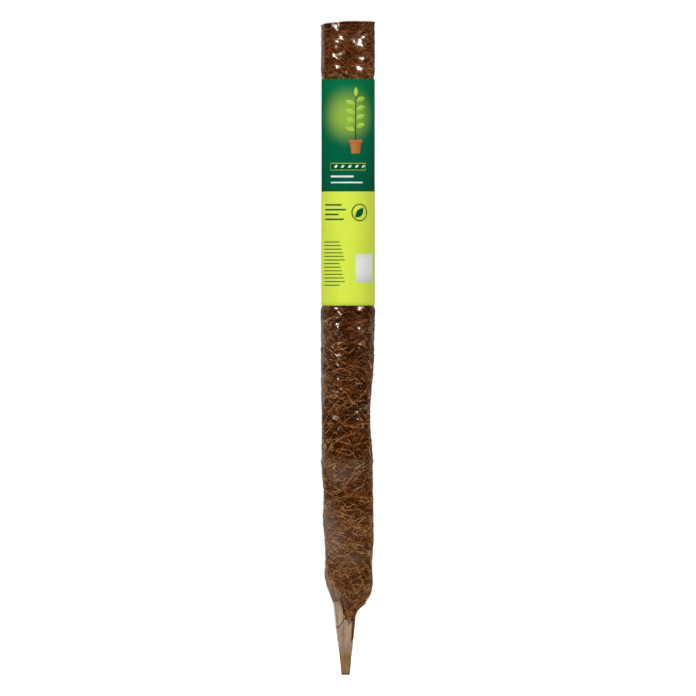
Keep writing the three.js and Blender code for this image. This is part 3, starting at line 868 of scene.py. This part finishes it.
# How uneven it is, its patch of haze and painted sheen at the left, and the streaks of haze along both
# sides with the skirt.
HAZE_SWAY = 0.018
EVEN_SHARE = 0.85
CLOUDY_SHARE = 0.4
STREAKY_SHARE = 0.2
PATCH_HAZE_AND_SHEEN = 0.11
PATCH_TURN = -0.75
PATCH_WIDTH = 0.4
PATCH_LEVEL = 0.148
PATCH_HEIGHT = 0.018
CLEAR_SHINE = 0.02
CLEAR_RISE = 0.03
SIDE_HAZE_ABOVE = 0.004
LEFT_HAZE = 0.23
LEFT_HAZE_TURN = -1.24
LEFT_HAZE_WIDTH = 0.16
SKIRT_HAZE = 0.08
SKIRT_TURN = -0.95
SKIRT_WIDTH = 0.28
SKIRT_FROM = 0.24
SKIRT_RISE = 0.03
RIGHT_HAZE_LEVEL = (0.10, 0.16, 0.21, LABEL_BOTTOM, LABEL_TOP)
RIGHT_HAZE = (0.07, 0.10, 0.14, 0.14, 0.04)
RIGHT_HAZE_TURN = 1.18
RIGHT_HAZE_WIDTH = 0.19
# The slanting fold at the lower left, on the film laid out flat: where it starts, its direction and length.
FLAT_REACH = 0.02
FOLD_START = (-0.0279, 0.100)
FOLD_ALONG = (0.512, -0.859)
FOLD_ACROSS = (0.859, 0.512)
FOLD_LENGTH = 0.037
FOLD_BREADTH = 0.0030
FOLD_FADE = 0.004
FOLD_HAZE = 0.50
# The funnel's haze, between two angles from the front and two heights.
FUNNEL_HAZE = 0.41
FUNNEL_TURN = (-2.7, -0.5)
FUNNEL_FADE = (0.7, 0.3)
FUNNEL_LEVEL = 0.0695
FUNNEL_TOP_FADE = 0.006
FOOT_HIGH = 0.086
# The hooked edge of the doubled film on the stake: its height at an angle from the front.
HOOK_TURN = (-0.87, 0.1, 0.35, 0.8)
HOOK_LEVEL = (0.0429, 0.0520, 0.0495, 0.0490)
HOOK_EDGE = 0.0006
SINGLE_TURN = 0.8
DOUBLED_HAZE = 0.38
CORNER_HAZE = 0.46
CORNER_HAZE_WIDTH = 0.18
CORNER_HAZE_LEVEL = (0.03, 0.066)
# A painted highlight along the film's lower edge on the right: its strength and its height.
RIM_PAINTED_HIGHLIGHT = 0.3
RIM_HIGHLIGHT_HEIGHT = 0.0022
FILM_MILK = ((0.02, (30, 20, 14)), (0.08, (150, 114, 88)), (0.24, (194, 174, 158)), (0.36, (180, 148, 131)))


def film_relief(angle, z):
    """How far the film stands off its even place on the coir: flat dents and fine crinkles across the pole,
    broader hollows on the front and back near the top, and the ridge over the spiral of thread."""
    dents = ripple(angle, z, seed=46, count=18, turns=(3, 13), waves=(0.009, 0.022))
    hollows = ripple(angle, z, seed=48, count=12, turns=(2, 8), waves=(0.017, 0.038)) * np.abs(np.sin(angle))
    crinkle = ripple(angle, z, seed=42, count=24, turns=(6, 24), waves=(0.003, 0.007))
    upper = share_past(z, UPPER_FROM, UPPER_RISE)
    tight = SMOOTH_SHARE + (1 - SMOOTH_SHARE) * share_past(z, SMOOTH_UP_TO, SMOOTH_FADE)
    fine = DENTS * dents + (CRINKLES - CRINKLES_LOST * upper) * crinkle
    relief = tight * fine + HOLLOWS * upper * hollows
    relief = np.maximum(relief, -DEEPEST_DENT)
    turns_up = (z - THREAD_FOOT - tie_height) / THREAD_PITCH - angle / math.tau
    from_thread = (turns_up - np.round(turns_up)) * THREAD_PITCH
    wound = (z > THREAD_FOOT) & (z < THREAD_TOP)
    ridge = THREAD_RIDGE * bell(from_thread, RIDGE_WIDTH) * wound
    return (relief + ridge) * (1 - FILM_PRESSED * label_hold(z))


def sleeve_shaft(angle, z, inset):
    """The film on the coir: the coir's own face, lifted, with the film's relief on it."""
    return on_coir(angle, z, FILM_LIFT - inset + film_relief(angle, z))


def sleeve_neck(angle, z, inset):
    """The film on the stake: the stake's square, slightly larger and slanted with the foot, in pleats. It is
    looser at the left corner and on the front and right, where coir hangs down under it."""
    slant = NECK_SLANT * share_past(z, FILM_FOOT, NECK_LEVEL - FILM_FOOT)
    half = stake_half(z + slant * stake_half(z) * np.cos(angle))
    pleats = ripple(angle, z, seed=51, count=10, turns=(5, 15), waves=(0.02, 0.08))
    loose = np.clip((z - FILM_FOOT) / PLEATS_RISE, PLEATS_LEAST, 1)
    corner = bell(nearest_turn(angle, LEFT_CORNER), CORNER_WIDTH)
    gap = NECK_GAP + (NECK_SLACK + CORNER_SLACK * corner) * share_past(z, SLACK_FROM, SLACK_RISE)
    front = bell(nearest_turn(angle, FRONT + FRONT_SLACK_TURN), FRONT_SLACK_WIDTH)
    gap += FRONT_SLACK * front * share_past(z, FRONT_SLACK_FROM, SLACK_RISE)
    reach = (half + gap - inset) * square_reach(angle - STAKE_TURN, NECK_SHARPNESS) + PLEATS * loose * pleats
    ragged = RAGGED_EDGE * ripple(angle, 0 * z, seed=52, count=6, turns=(1, 8), waves=(1, 2))
    ragged = ragged * np.clip(1 - (z - FILM_FOOT) / RAGGED_HEIGHT, 0, 1)
    height = z + slant * half * np.cos(angle) + ragged
    return np.stack([reach * np.cos(angle), reach * np.sin(angle), height], axis=-1)


def sleeve(angle, level, inset=0.0):
    """A point of the sleeve at an angle and level, moved inwards by the inset: on the stake below the neck,
    on the coir above its foot, and between them on a funnel that leaves the stake steeply and swells out."""
    neck = sleeve_neck(angle, np.minimum(level, NECK_LEVEL), inset)
    shaft = sleeve_shaft(angle, np.maximum(level, COIR_FOOT), inset)
    share = share_past(level, NECK_LEVEL, COIR_FOOT - NECK_LEVEL)
    folds = ripple(angle, share, seed=53, count=12, turns=(6, 17), waves=(1.5, 6.0))
    folds = folds * np.sin(math.pi * share)
    swell = share ** (FUNNEL_FLARE + FUNNEL_LEAN * np.cos(angle))
    point = neck + (shaft - neck) * swell[..., None]
    point[..., :2] *= (1 + FUNNEL_FOLDS * folds)[..., None]
    point[..., 2] = neck[..., 2] + (shaft[..., 2] - neck[..., 2]) * share ** FUNNEL_STEEPNESS
    return point


def sleeve_lip(angle, share):
    """The rim: from the top of the coir over a tight round edge, and flat inwards to the wavy lip."""
    middle = COIR_LEVELS[-1, 2]
    edge = sleeve_shaft(angle, np.full_like(share, COIR_TOP), 0.0)
    bend = share_past(share, 0, LIP_BEND) * math.pi / 2
    flat = share_past(share, LIP_BEND, 1 - LIP_BEND)
    corner = FILM_TOP - COIR_TOP
    wavy = LIP_WAVES * ripple(angle, 0 * share, seed=54, count=7, turns=(2, 9), waves=(1, 2))
    inward = corner * (1 - np.cos(bend)) + (LIP_WIDTH + wavy) * flat
    plan = edge[..., :2] - (middle, 0)
    reach = np.linalg.norm(plan, axis=-1)
    plan = plan * ((reach - inward) / reach)[..., None] + (middle, 0)
    z = COIR_TOP + corner * np.sin(bend) - LIP_DROP * flat
    return knocked_in(np.concatenate([plan, z[..., None]], axis=-1))


def film_levels():
    """Rows of the sheet: close together where it shows, and wide apart behind the label."""
    return np.concatenate([np.linspace(FILM_FOOT, NECK_LEVEL, NECK_ROWS, endpoint=False),
                           np.linspace(NECK_LEVEL, COIR_FOOT, FUNNEL_ROWS, endpoint=False),
                           np.arange(COIR_FOOT, LABEL_BOTTOM + LABEL_EASE, FILM_STEP),
                           np.linspace(LABEL_BOTTOM + HIDDEN_FROM, LABEL_TOP - HIDDEN_FROM, HIDDEN_ROWS),
                           np.arange(LABEL_TOP - LABEL_EASE, COIR_TOP, FILM_STEP)])


def film_shell():
    """The sheet from its lower edge to the lip and, a wall's thickness inside it, its inner face. Its
    columns are closer together at the front."""
    turn = full_turn(FILM_COLUMNS)[None, :]
    angle = turn - FRONT_CROWDING * np.sin(turn - FRONT)
    levels = film_levels()[:, None]
    share = np.linspace(0, 1, LIP_ROWS)[:, None] + 0 * angle
    sheet = np.concatenate([sleeve(angle + 0 * levels, levels + 0 * angle),
                            sleeve_lip(angle + 0 * share, share)])
    round_it = np.roll(sheet, -1, axis=1) - np.roll(sheet, 1, axis=1)
    normal = np.cross(round_it, np.gradient(sheet, axis=0))
    normal /= np.linalg.norm(normal, axis=2, keepdims=True) + TINY
    return np.concatenate([sheet, (sheet - FILM_WALL * normal)[::-1]])


def thin_haze(angle, front, z):
    """The thin haze on the coir: patches on the lower part, which are milky film and painted soft sheen,
    streaks along the folds at both sides, and a soft skirt beside the left one below the label. The upper
    part has a clear shine, which counts as a little."""
    clear = CLEAR_SHINE * share_past(z, FILM_SPLIT, CLEAR_RISE)
    wavy = z + HAZE_SWAY * (1 - np.cos(front)) * np.sin(3 * angle)
    patch = bell(front - PATCH_TURN, PATCH_WIDTH) * bell(z - PATCH_LEVEL, PATCH_HEIGHT)
    # Painted sheen: the haze on the lower part stands for the film's soft sheen as well as its milkiness.
    low = np.interp(wavy, HAZE_LEVEL, HAZE_AND_SHEEN_AMOUNT) + PATCH_HAZE_AND_SHEEN * patch
    cloudy = ripple(angle, z, seed=62, count=12, turns=(1, 4), waves=(0.025, 0.07))
    low *= EVEN_SHARE + CLOUDY_SHARE * np.clip(cloudy, 0, 1)
    low *= np.interp(front, HAZE_TURN, HAZE_SHARE)
    streaky = ripple(angle, z, seed=61, count=10, turns=(0, 3), waves=(0.015, 0.06))
    streaks = EVEN_SHARE + STREAKY_SHARE * streaky
    below_label = share_past(z, SKIRT_FROM, SKIRT_RISE) * (z < LABEL_TOP)
    skirt = SKIRT_HAZE * bell(front - SKIRT_TURN, SKIRT_WIDTH) * below_label
    left = (LEFT_HAZE * bell(front - LEFT_HAZE_TURN, LEFT_HAZE_WIDTH) + skirt) * streaks
    right = np.interp(z, RIGHT_HAZE_LEVEL, RIGHT_HAZE) * bell(front - RIGHT_HAZE_TURN, RIGHT_HAZE_WIDTH)
    right = right * streaks
    sides = (left + right) * (z > COIR_FOOT + SIDE_HAZE_ABOVE)
    return np.minimum(clear + low + sides, HAZE_LIMIT)


def thick_haze(angle, front, z):
    """The milky places: the slanting fold and the funnel at the lower left, the doubled film below its
    hooked edge on the stake, the loose corner at the stake's left, and a painted highlight along the rim at
    the foot."""
    flat = np.stack([front * FLAT_REACH - FOLD_START[0], z - FOLD_START[1]], axis=-1)
    along, across = flat @ np.array(FOLD_ALONG), flat @ np.array(FOLD_ACROSS)
    fold = bell(across, FOLD_BREADTH) * (along > 0) * share_past(FOLD_LENGTH - along, 0, FOLD_FADE)
    funnel = share_past(FUNNEL_TURN[1] - front, 0, FUNNEL_FADE[1])
    funnel *= share_past(front, FUNNEL_TURN[0], FUNNEL_FADE[0])
    funnel *= (z > FUNNEL_LEVEL) * share_past(FOOT_HIGH - z, 0, FUNNEL_TOP_FADE)
    below_hook = 0.5 - 0.5 * np.tanh((z - np.interp(front, HOOK_TURN, HOOK_LEVEL)) / HOOK_EDGE)
    doubled = below_hook * (np.abs(nearest_turn(angle, STAKE_TURN)) > SINGLE_TURN)
    corner = bell(nearest_turn(angle, LEFT_CORNER), CORNER_HAZE_WIDTH)
    corner *= (z > CORNER_HAZE_LEVEL[0]) * (z < CORNER_HAZE_LEVEL[1])
    # Painted highlight: a pale band along the film's lower edge on the right.
    rim = (z < FILM_FOOT + RIM_HIGHLIGHT_HEIGHT) * (front > 0)
    return (np.maximum(FOLD_HAZE * fold, FUNNEL_HAZE * funnel)
            + np.maximum(DOUBLED_HAZE * doubled, CORNER_HAZE * corner) + RIM_PAINTED_HIGHLIGHT * rim)


def film_haze(points):
    """How milky the film is, from 0 to 1: the thin haze and the thick one together."""
    angle = np.arctan2(points[..., 1], points[..., 0] - POLE_MIDDLE)
    front, z = nearest_turn(angle, FRONT), points[..., 2]
    return np.clip(thin_haze(angle, front, z) + thick_haze(angle, front, z), 0, 1)


def film_material(name, share, shine, roughness):
    """Clear film: nearly all see-through, with a shine that breaks up on fine wrinkles, and made milky by
    the haze on its points."""
    material, tree, place = piece_material(name)
    haze = add_node(tree, "ShaderNodeAttribute", attribute_name="haze").outputs["Fac"]
    height = add_node(tree, "ShaderNodeSeparateXYZ", {0: place}).outputs["Z"]
    squeezed = add_node(tree, "ShaderNodeMapping", {"Vector": place, "Rotation": (0, WRINKLE_TILT, 0),
                                                    "Scale": WRINKLE_SIZE}, vector_type="TEXTURE")
    wrinkle = noise_value(tree, squeezed.outputs[0], scale=1.0, detail=2, Roughness=0.5)
    fine = arithmetic(tree, "MULTIPLY", wrinkle, remapped(tree, height, WRINKLED_FROM))
    cover = remapped(tree, haze, made=(LEAST_COVER * share, share))
    finish_surface(tree, ramp_colour(tree, haze, FILM_MILK), roughness, shine, Alpha=cover,
                   Normal=bumped(tree, fine, strength=0.2, depth=WRINKLE_DEPTH))
    return material


film_points = film_shell()
film_faces = grid_faces(len(film_points), FILM_COLUMNS, round_rows=True)
film_kinds = [film_material("clear_film", share=1.0, shine=1.0, roughness=0.18),
              film_material("dull_film", share=1.0, shine=0.004, roughness=0.7),
              film_material("film_inside", share=0.1, shine=0.004, roughness=0.7)]
film = add_piece("film", film_points, film_faces.tolist(), film_kinds, ["film_sleeve"])
film_row, film_column = grid_corners(len(film_points), FILM_COLUMNS, round_rows=True)
film_low = film_points[film_row[:, 0], film_column[:, 0], 2] < FILM_SPLIT
film_kind = np.where(film_row[:, 0] >= len(film_points) // 2, INSIDE_KIND, film_low)
film.data.polygons.foreach_set("material_index", film_kind.astype(np.int32))
mark_points(film, "haze", film_haze(film_points))
lay_map(film, np.stack([film_column / FILM_COLUMNS, film_row / len(film_points)], axis=-1))


# The ragged foot of the coir: felt that was drawn down with the film. It fills the film's funnel on the
# front and right and ends in a tongue of loose fibre on the stake's front.
MM = 0.001
FOOT_SEED = 31
FOOT_COLUMNS = 160
FOOT_ROWS = 30
FOOT_TUFTS = 0.00010
FOOT_OUTER = 0.00045
FOOT_INNER = 0.00050
FOOT_SINK = 0.0009
FOOT_SINK_FROM = 0.07
FOOT_SINK_RISE = 0.016
FOOT_THIN = 0.0003
FOOT_THICKER = 0.0012
FOOT_THICKER_RISE = 0.012
FOOT_RAGS = 0.0007
FOOT_REACH = 0.018
FOOT_FIBRES_HIGH = 0.095
HANGING_LEAN = 0.35
HANGING_SWAY = 0.12
HANGING_WAVE = 6
HANGING_FROM = (0.066, 0.092)
HANGING_PAST_EDGE = (-0.004, 0.002)
HANGING_DEPTH = (0.0001, 0.0004)
HANGING_SINK = 0.0006
CROSSING_ABOVE_EDGE = (0.001, 0.03)
CROSSING_DEPTH = (0.0001, 0.0005)
LOOSE_STRANDS = 4
LOOSE_TURN = 0.02
LOOSE_HEIGHT = 0.0004
LOOSE_DEPTH = 0.00015
FOOT_EDGE_TURN = np.radians((-180, -110, -60, -35, -25, -13, -6, -2, 4, 20, 32, 45, 60, 90, 130, 180))
FOOT_EDGE_LEVEL = MM * np.array((62, 61, 62, 63.5, 61.5, 57.5, 55, 52.5, 50, 49.3, 49, 50, 53, 55.5, 60, 62))


def foot_edge(angle):
    """The level of the felt's ragged lower edge at an angle."""
    front = nearest_turn(angle, FRONT)
    ragged = FOOT_RAGS * ripple(front, 0 * front, seed=71, count=9, turns=(6, 26), waves=(1, 2))
    return np.interp(front, FOOT_EDGE_TURN, FOOT_EDGE_LEVEL) + ragged


def foot_shell():
    """A layer of felt under the film, from inside the coir down to the ragged edge, and its inner face. It
    is thicker, and lies deeper, higher up."""
    angle = full_turn(FOOT_COLUMNS)[None, :]
    share = np.linspace(0, 1, FOOT_ROWS)[:, None]
    low = foot_edge(angle)
    level = low + (FOOT_HIGH - low) * share
    tufts = FOOT_TUFTS * ripple(angle, level, seed=72, count=14, turns=(5, 30), waves=(0.006, 0.02))
    thick = FOOT_THIN + FOOT_THICKER * share_past(level, NECK_LEVEL, FOOT_THICKER_RISE)
    sink = FOOT_SINK * share_past(level, FOOT_SINK_FROM, FOOT_SINK_RISE)
    angles = angle + 0 * level
    outer = sleeve(angles, level, FOOT_OUTER + sink - tufts)
    inner = sleeve(angles, level, FOOT_INNER + sink + thick)
    return np.concatenate([outer, inner[::-1]])


def hanging_strands(count, steps, draw):
    """Fibres that run down the foot and hang over its edge, close under the film."""
    along = np.linspace(0, 1, steps + 1)[None, :]
    lean = draw.normal(0, HANGING_LEAN, (count, 1)) * (1 - along)
    sway = draw.normal(0, HANGING_SWAY, (count, 1)) * np.sin(HANGING_WAVE * along)
    angle = draw.uniform(0, math.tau, (count, 1)) + (lean + sway)
    low = foot_edge(angle) - draw.uniform(*HANGING_PAST_EDGE, (count, 1))
    level = low + (draw.uniform(*HANGING_FROM, (count, 1)) - low) * along
    return sleeve(angle, level, draw.uniform(*HANGING_DEPTH, (count, 1)) + HANGING_SINK * along)


def crossing_strands(count, steps, draw):
    """Fibres laid every way over the foot, as on the face of the coir."""
    around, up = wander(count, steps, length=(0.008, 0.022), heading=1.4, bend=1.2, draw=draw)
    angle = draw.uniform(0, math.tau, (count, 1)) + around / FOOT_REACH
    level = foot_edge(angle) + np.abs(draw.uniform(*CROSSING_ABOVE_EDGE, (count, 1)) + up)
    return sleeve(angle, np.minimum(level, FOOT_FIBRES_HIGH), draw.uniform(*CROSSING_DEPTH, (count, 1)))


def loose_and_shade_strands(ends, steps, draw):
    """A few dark strands side by side along each of the loose ends, just under the film. Some of them are
    painted shade: a dark line on the hooked fold and a darkened right face of the stake.
    """
    along = np.linspace(0, 1, steps + 1)
    turns = np.array([np.interp(along, np.linspace(0, 1, len(turn)), turn) for turn, _ in ends])
    levels = np.array([np.interp(along, np.linspace(0, 1, len(level)), level) for _, level in ends])
    beside = np.repeat(np.arange(len(ends)), LOOSE_STRANDS)
    angle = np.radians(turns[beside]) + draw.normal(0, LOOSE_TURN, (len(beside), 1))
    level = MM * levels[beside] + draw.normal(0, LOOSE_HEIGHT, (len(beside), 1))
    return sleeve(angle, level, LOOSE_DEPTH)


# Painted shade: the first end follows the hooked fold of the doubled film as a dark line, and the five from
# -46 to 2 degrees darken the stake's shaded right face; the rest are loose coir.
# Each loose end: the angles round the pole in degrees, and the levels in mm, that it passes through.
LOOSE_AND_SHADE_ENDS = (
    ((-75, -94, -112, -128, -140, -145, -147), (53.8, 51.6, 47.6, 43.8, 41.6, 41.8, 43.6)),
    ((-114, -105, -91, -88), (66.1, 59.8, 55.4, 52.0)),
    ((-107, -86, -60), (65.8, 60.8, 60.2)),
    ((-46, -47, -44), (56.0, 44.0, 33.0)),
    ((-36, -39, -37), (56.0, 45.0, 30.5)),
    ((-27, -24, -29), (57.0, 45.0, 31.0)),
    ((-14, -17, -13), (57.0, 44.0, 33.0)),
    ((2, -2, 1), (58.0, 46.0, 34.0)),
    ((-94, -92), (42.4, 41.5)),
)
foot_faces = grid_faces(2 * FOOT_ROWS, FOOT_COLUMNS, round_rows=True).tolist()
add_piece("coir_foot", foot_shell(), foot_faces, [felt_material("coir_foot_felt", paleness=0.0)])
foot_draw = np.random.default_rng(FOOT_SEED)
hanging_paths = hanging_strands(count=700, steps=10, draw=foot_draw)
add_fibres("coir_fibres_hanging", hanging_paths, thick=(0.00011, 0.0002), tones=(0.05, 0.7), draw=foot_draw)
crossing_paths = crossing_strands(count=1300, steps=10, draw=foot_draw)
add_fibres("coir_fibres_foot", crossing_paths, thick=(0.00016, 0.00026), tones=(0.05, 0.95), draw=foot_draw)
# Dark loose strands, partly loose coir and partly painted shade on the hooked fold and the right face.
loose_and_shade_paths = loose_and_shade_strands(LOOSE_AND_SHADE_ENDS, steps=16, draw=foot_draw)
add_fibres("coir_fibres_loose_and_shade", loose_and_shade_paths, thick=(0.0002, 0.0003), tones=(0.1, 0.45), draw=foot_draw)


# The staple: a small bent steel wire, driven through the film into the front of the stake. It holds the film
# there and has gone brown.
def rust_material():
    """Zinc-coated wire that has rusted in spots."""
    material, tree, place = piece_material("rusty_wire")
    spots = noise_value(tree, place, scale=900, detail=4)
    tone = ramp_colour(tree, spots, ((0.35, (84, 50, 30)), (0.55, (132, 96, 70)), (0.7, (150, 140, 130))))
    finish_surface(tree, tone, roughness=remapped(tree, spots, made=(0.8, 0.4)), shine=0.05, Metallic=0.05)
    return material


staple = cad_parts["neck_staple"]
staple.data.materials.clear()
staple.data.materials.append(rust_material())


# The label: a band of coated paper round the film, glued where it laps at the back. The upper half is deep
# green with a soft glow, the lower half lime, with painted shade darkening it down each side.
LABEL_LIFT = 0.00135
LABEL_ASIDE = 0.0002
LABEL_RADIUS = COIR_LEVELS[-1, 1] + LABEL_LIFT
LABEL_SHIFT = COIR_LEVELS[-1, 2] + LABEL_ASIDE
LABEL_WALL = 0.00022
LABEL_LAP_FROM = math.radians(78)
LABEL_LAP = math.radians(34)
LABEL_LAP_LIFT = 0.00093
LABEL_LAP_CLIMB = 0.2
LABEL_SPLIT = 0.4433
# Where the painted shade down the band's sides begins and is full, as distance from its middle.
LABEL_SHADE_SPAN = (0.0235, 0.0244)
PAPER_DEPTH = 0.0001
GLOW_HEIGHT = 0.513
GLOW_REACH = (0.002, 0.033)
LABEL_COLUMNS = 220
LABEL_ROWS = 60
GREEN_TOP = (2, 112, 68)
GREEN_LOW = (1, 86, 63)
GREEN_GLOW = (150, 184, 72)
LIME = (213, 230, 76)
LABEL_SHADE_DARK = (0, 0.01, 0, 1)


def on_label(angle, z, lift):
    """A point on the band's outer face, lifted outwards. Past a full turn it climbs over its own start."""
    past_turn = angle - LABEL_LAP_FROM - math.tau
    over = share_past(past_turn, -LABEL_LAP_CLIMB, LABEL_LAP_CLIMB)
    reach = LABEL_RADIUS + LABEL_WALL + lift + LABEL_LAP_LIFT * over
    x, y, height = np.broadcast_arrays(LABEL_SHIFT + reach * np.cos(angle), reach * np.sin(angle), z)
    return np.stack([x, y, height], axis=-1)


def slab_faces(rows, columns):
    """The faces of a thin slab: a grid, its back, numbered after it, and the four edges between them."""
    top = grid_faces(rows, columns, round_columns=False)
    back = top[:, ::-1] + rows * columns
    low, side = np.arange(columns), np.arange(1, rows) * columns
    rim = np.concatenate([low, side + columns - 1, low[-2::-1] + (rows - 1) * columns, side[-2::-1]])
    ahead = np.roll(rim, -1)
    edge = np.stack([ahead, rim, rim + rows * columns, ahead + rows * columns], axis=1)
    return np.concatenate([top, back, edge])


def label_band():
    """The band's outer and inner face, rolled from the start of the lap once round and over it."""
    angle = np.linspace(LABEL_LAP_FROM, LABEL_LAP_FROM + math.tau + LABEL_LAP, LABEL_COLUMNS)[None, :]
    z = np.linspace(LABEL_BOTTOM, LABEL_TOP, LABEL_ROWS)[:, None]
    return np.stack([on_label(angle, z, 0), on_label(angle, z, -LABEL_WALL)])


def paper_finish(tree, place, colour):
    """Ink under a thin satin varnish, with the fine mottle of the paper in its roughness and its relief."""
    mottle = noise_value(tree, place, scale=900, detail=2)
    finish_surface(tree, colour, roughness=remapped(tree, mottle, made=(0.5, 0.7)), shine=0.0004,
                   Normal=bumped(tree, mottle, strength=0.05, depth=PAPER_DEPTH))


def label_material():
    """The printed ground: a green field that deepens downwards round a soft yellow glow, over a lime field,
    darkened at each side by painted shade, where the band turns away from the front."""
    material, tree, place = piece_material("label_paper")
    axes = add_node(tree, "ShaderNodeSeparateXYZ", {0: place}).outputs
    field = remapped(tree, axes["Z"], (LABEL_SPLIT, LABEL_TOP))
    green = mixed_colour(tree, field, shade(GREEN_LOW), shade(GREEN_TOP))
    away = add_node(tree, "ShaderNodeVectorMath", {0: place, 1: (LABEL_SHIFT, -LABEL_RADIUS, GLOW_HEIGHT)},
                    operation="DISTANCE")
    glow = remapped(tree, away.outputs["Value"], GLOW_REACH, (0.9, 0.0), interpolation_type="SMOOTHERSTEP")
    lit = mixed_colour(tree, glow, green, shade(GREEN_GLOW))
    upper = arithmetic(tree, "GREATER_THAN", axes["Z"], LABEL_SPLIT)
    ground = mixed_colour(tree, upper, shade(LIME), lit)
    # Painted shade: the band is darkened towards black-green along both sides.
    aside = arithmetic(tree, "SUBTRACT", axes["X"], LABEL_SHIFT)
    fold = remapped(tree, arithmetic(tree, "ABSOLUTE", aside), LABEL_SHADE_SPAN, (0.0, 0.4))
    paper_finish(tree, place, mixed_colour(tree, fold, ground, LABEL_SHADE_DARK))
    return material


label_faces = slab_faces(LABEL_ROWS, LABEL_COLUMNS).tolist()
add_piece("label", label_band(), label_faces, [label_material()], ["label_band"])


# The label's print: a plain drawing of a potted climber, a leaf in a ring, rows of rules and a white panel.
# Each colour is a thin layer of ink on the band.
PRINT_STEPS = 24
PRINT_LIFT = 0.00004
INK_THIN = 0.94
LEAF_PAIRS = (499, 507, 515, 523)
# Each ink: its name, its colour and its shapes, whose numbers print_shapes explains.
PRINTS = (
    ("pale_green", (174, 214, 76),
     [(6.4, z, 9.5, 0.1, 0.1, 2.2, 150, 24) for z in LEAF_PAIRS]
     + [(7.6, z + 3, 9.5, 0.1, 0.1, 2.2, 30, -24) for z in LEAF_PAIRS]
     + [(7, 530, 9, 0.1, 0.1, 2.0, 84, 10), (-17.5, 466, 35, 3.4, 3.4, 0, 0, 0)]),
    ("deep_green", (0, 88, 52),
     [(-17, 466, 34, 2.8, 2.8, 0, 0, 0), (7, 491, 40, 0.6, 0.4, 0, 91, -3)]
     + [(18.5, 424, 47.1, 0.55, 0.55, 0, 90, 360), (6.5, 419.5, 12, 0.1, 0.1, 3.0, 40, 16)]
     + [(-25, 431 - 4.4 * k, run, 0.7, 0.7, 0, 0, 0) for k, run in enumerate((19, 23, 16, 21))]
     + [(-27, 397 - 3.3 * k, 19 + (7 * k) % 6, 0.42, 0.42, 0, 0, 0) for k in range(13)]
     + [(9, 383 - 4.6 * k, 17 - (5 * k) % 7, 0.5, 0.5, 0, 0, 0) for k in range(5)]
     + [(-66, 425 - 4.2 * k, 24 - (5 * k) % 8, 0.5, 0.5, 0, 0, 0) for k in range(14)]),
    ("white", (240, 241, 234),
     [(-17, 457, 22, 0.9, 0.9, 0, 0, 0), (-17, 451.5, 31, 0.7, 0.7, 0, 0, 0),
      (7, 373, 21, 13, 13, 0, 0, 0)]
     + [(-13 + 6.5 * k, 465, 4, 0.1, 0.1, 1.0, 35, 10) for k in range(5)]
     + [(-66, 524 - 5 * k, 26 - (7 * k) % 9, 0.6, 0.6, 0, 0, 0) for k in range(12)]),
    ("clay", (196, 116, 62), [(7, 478, 10, 3.9, 5.0, 0, 90, 0), (0.6, 489.4, 12.8, 1.3, 1.3, 0, 0, 0)]),
)


def print_shapes(table, lift):
    """Points of flat ink shapes. Each row of the table is a blade in mm and degrees: the arc from the
    front's middle and the height of its start, its length, its half width at both ends, its belly, its
    heading and its bend. A bar has no belly, a leaf has one, and a ring is a bar that bends a full turn."""
    arc, z, length, wide, end, belly, heading, bend = (np.array(table, float)[:, k, None] for k in range(8))
    t = np.linspace(0, 1, PRINT_STEPS + 1)[None, :]
    turn = np.radians(heading + bend * t)
    middle = 0.5 * (turn[:, 1:] + turn[:, :-1])
    step = length / PRINT_STEPS
    run = arc + np.pad(np.cumsum(np.cos(middle) * step, axis=1), ((0, 0), (1, 0)))
    rise = z + np.pad(np.cumsum(np.sin(middle) * step, axis=1), ((0, 0), (1, 0)))
    half = wide + (end - wide) * t + belly * np.sin(math.pi * t)
    side = np.array([-1, 0, 1])[None, :, None]
    arcs = run[:, None, :] - side * (half * np.sin(turn))[:, None, :]
    heights = rise[:, None, :] + side * (half * np.cos(turn))[:, None, :]
    return on_label(FRONT + MM * arcs / LABEL_RADIUS, MM * heights, lift)


def ink_material(name, colour):
    """One printed colour, uneven by a few hundredths, as ink lies on paper."""
    material, tree, place = piece_material("ink_" + name)
    grain = noise_value(tree, place, scale=1400, detail=2)
    thin = tuple(INK_THIN * part for part in colour)
    paper_finish(tree, place, ramp_colour(tree, grain, ((0.3, thin), (0.7, colour))))
    return material


slab = slab_faces(3, PRINT_STEPS + 1)
for level, (name, colour, table) in enumerate(PRINTS, 1):
    shapes = np.stack([print_shapes(table, level * PRINT_LIFT), print_shapes(table, -PRINT_LIFT)], axis=1)
    first = (np.arange(len(table)) * shapes[0].size // 3)[:, None, None]
    add_piece("label_print_" + name, shapes, (slab[None] + first).reshape(-1, 4).tolist(),
              [ink_material(name, colour)])


# The glue: a dried strip of hot glue in the lap of the band, whose two ends it holds together. It is hidden
# at the back.
def glue_material():
    """Yellowish glue, cloudy and half shiny."""
    material, tree, place = piece_material("dried_glue")
    cloud = noise_value(tree, place, scale=300, detail=3)
    tone = ramp_colour(tree, cloud, ((0.3, (206, 190, 140)), (0.7, (236, 226, 190))))
    finish_surface(tree, tone, roughness=remapped(tree, cloud, made=(0.3, 0.5)), shine=0.5)
    return material


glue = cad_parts["label_glue_strip"]
glue.data.materials.clear()
glue.data.materials.append(glue_material())
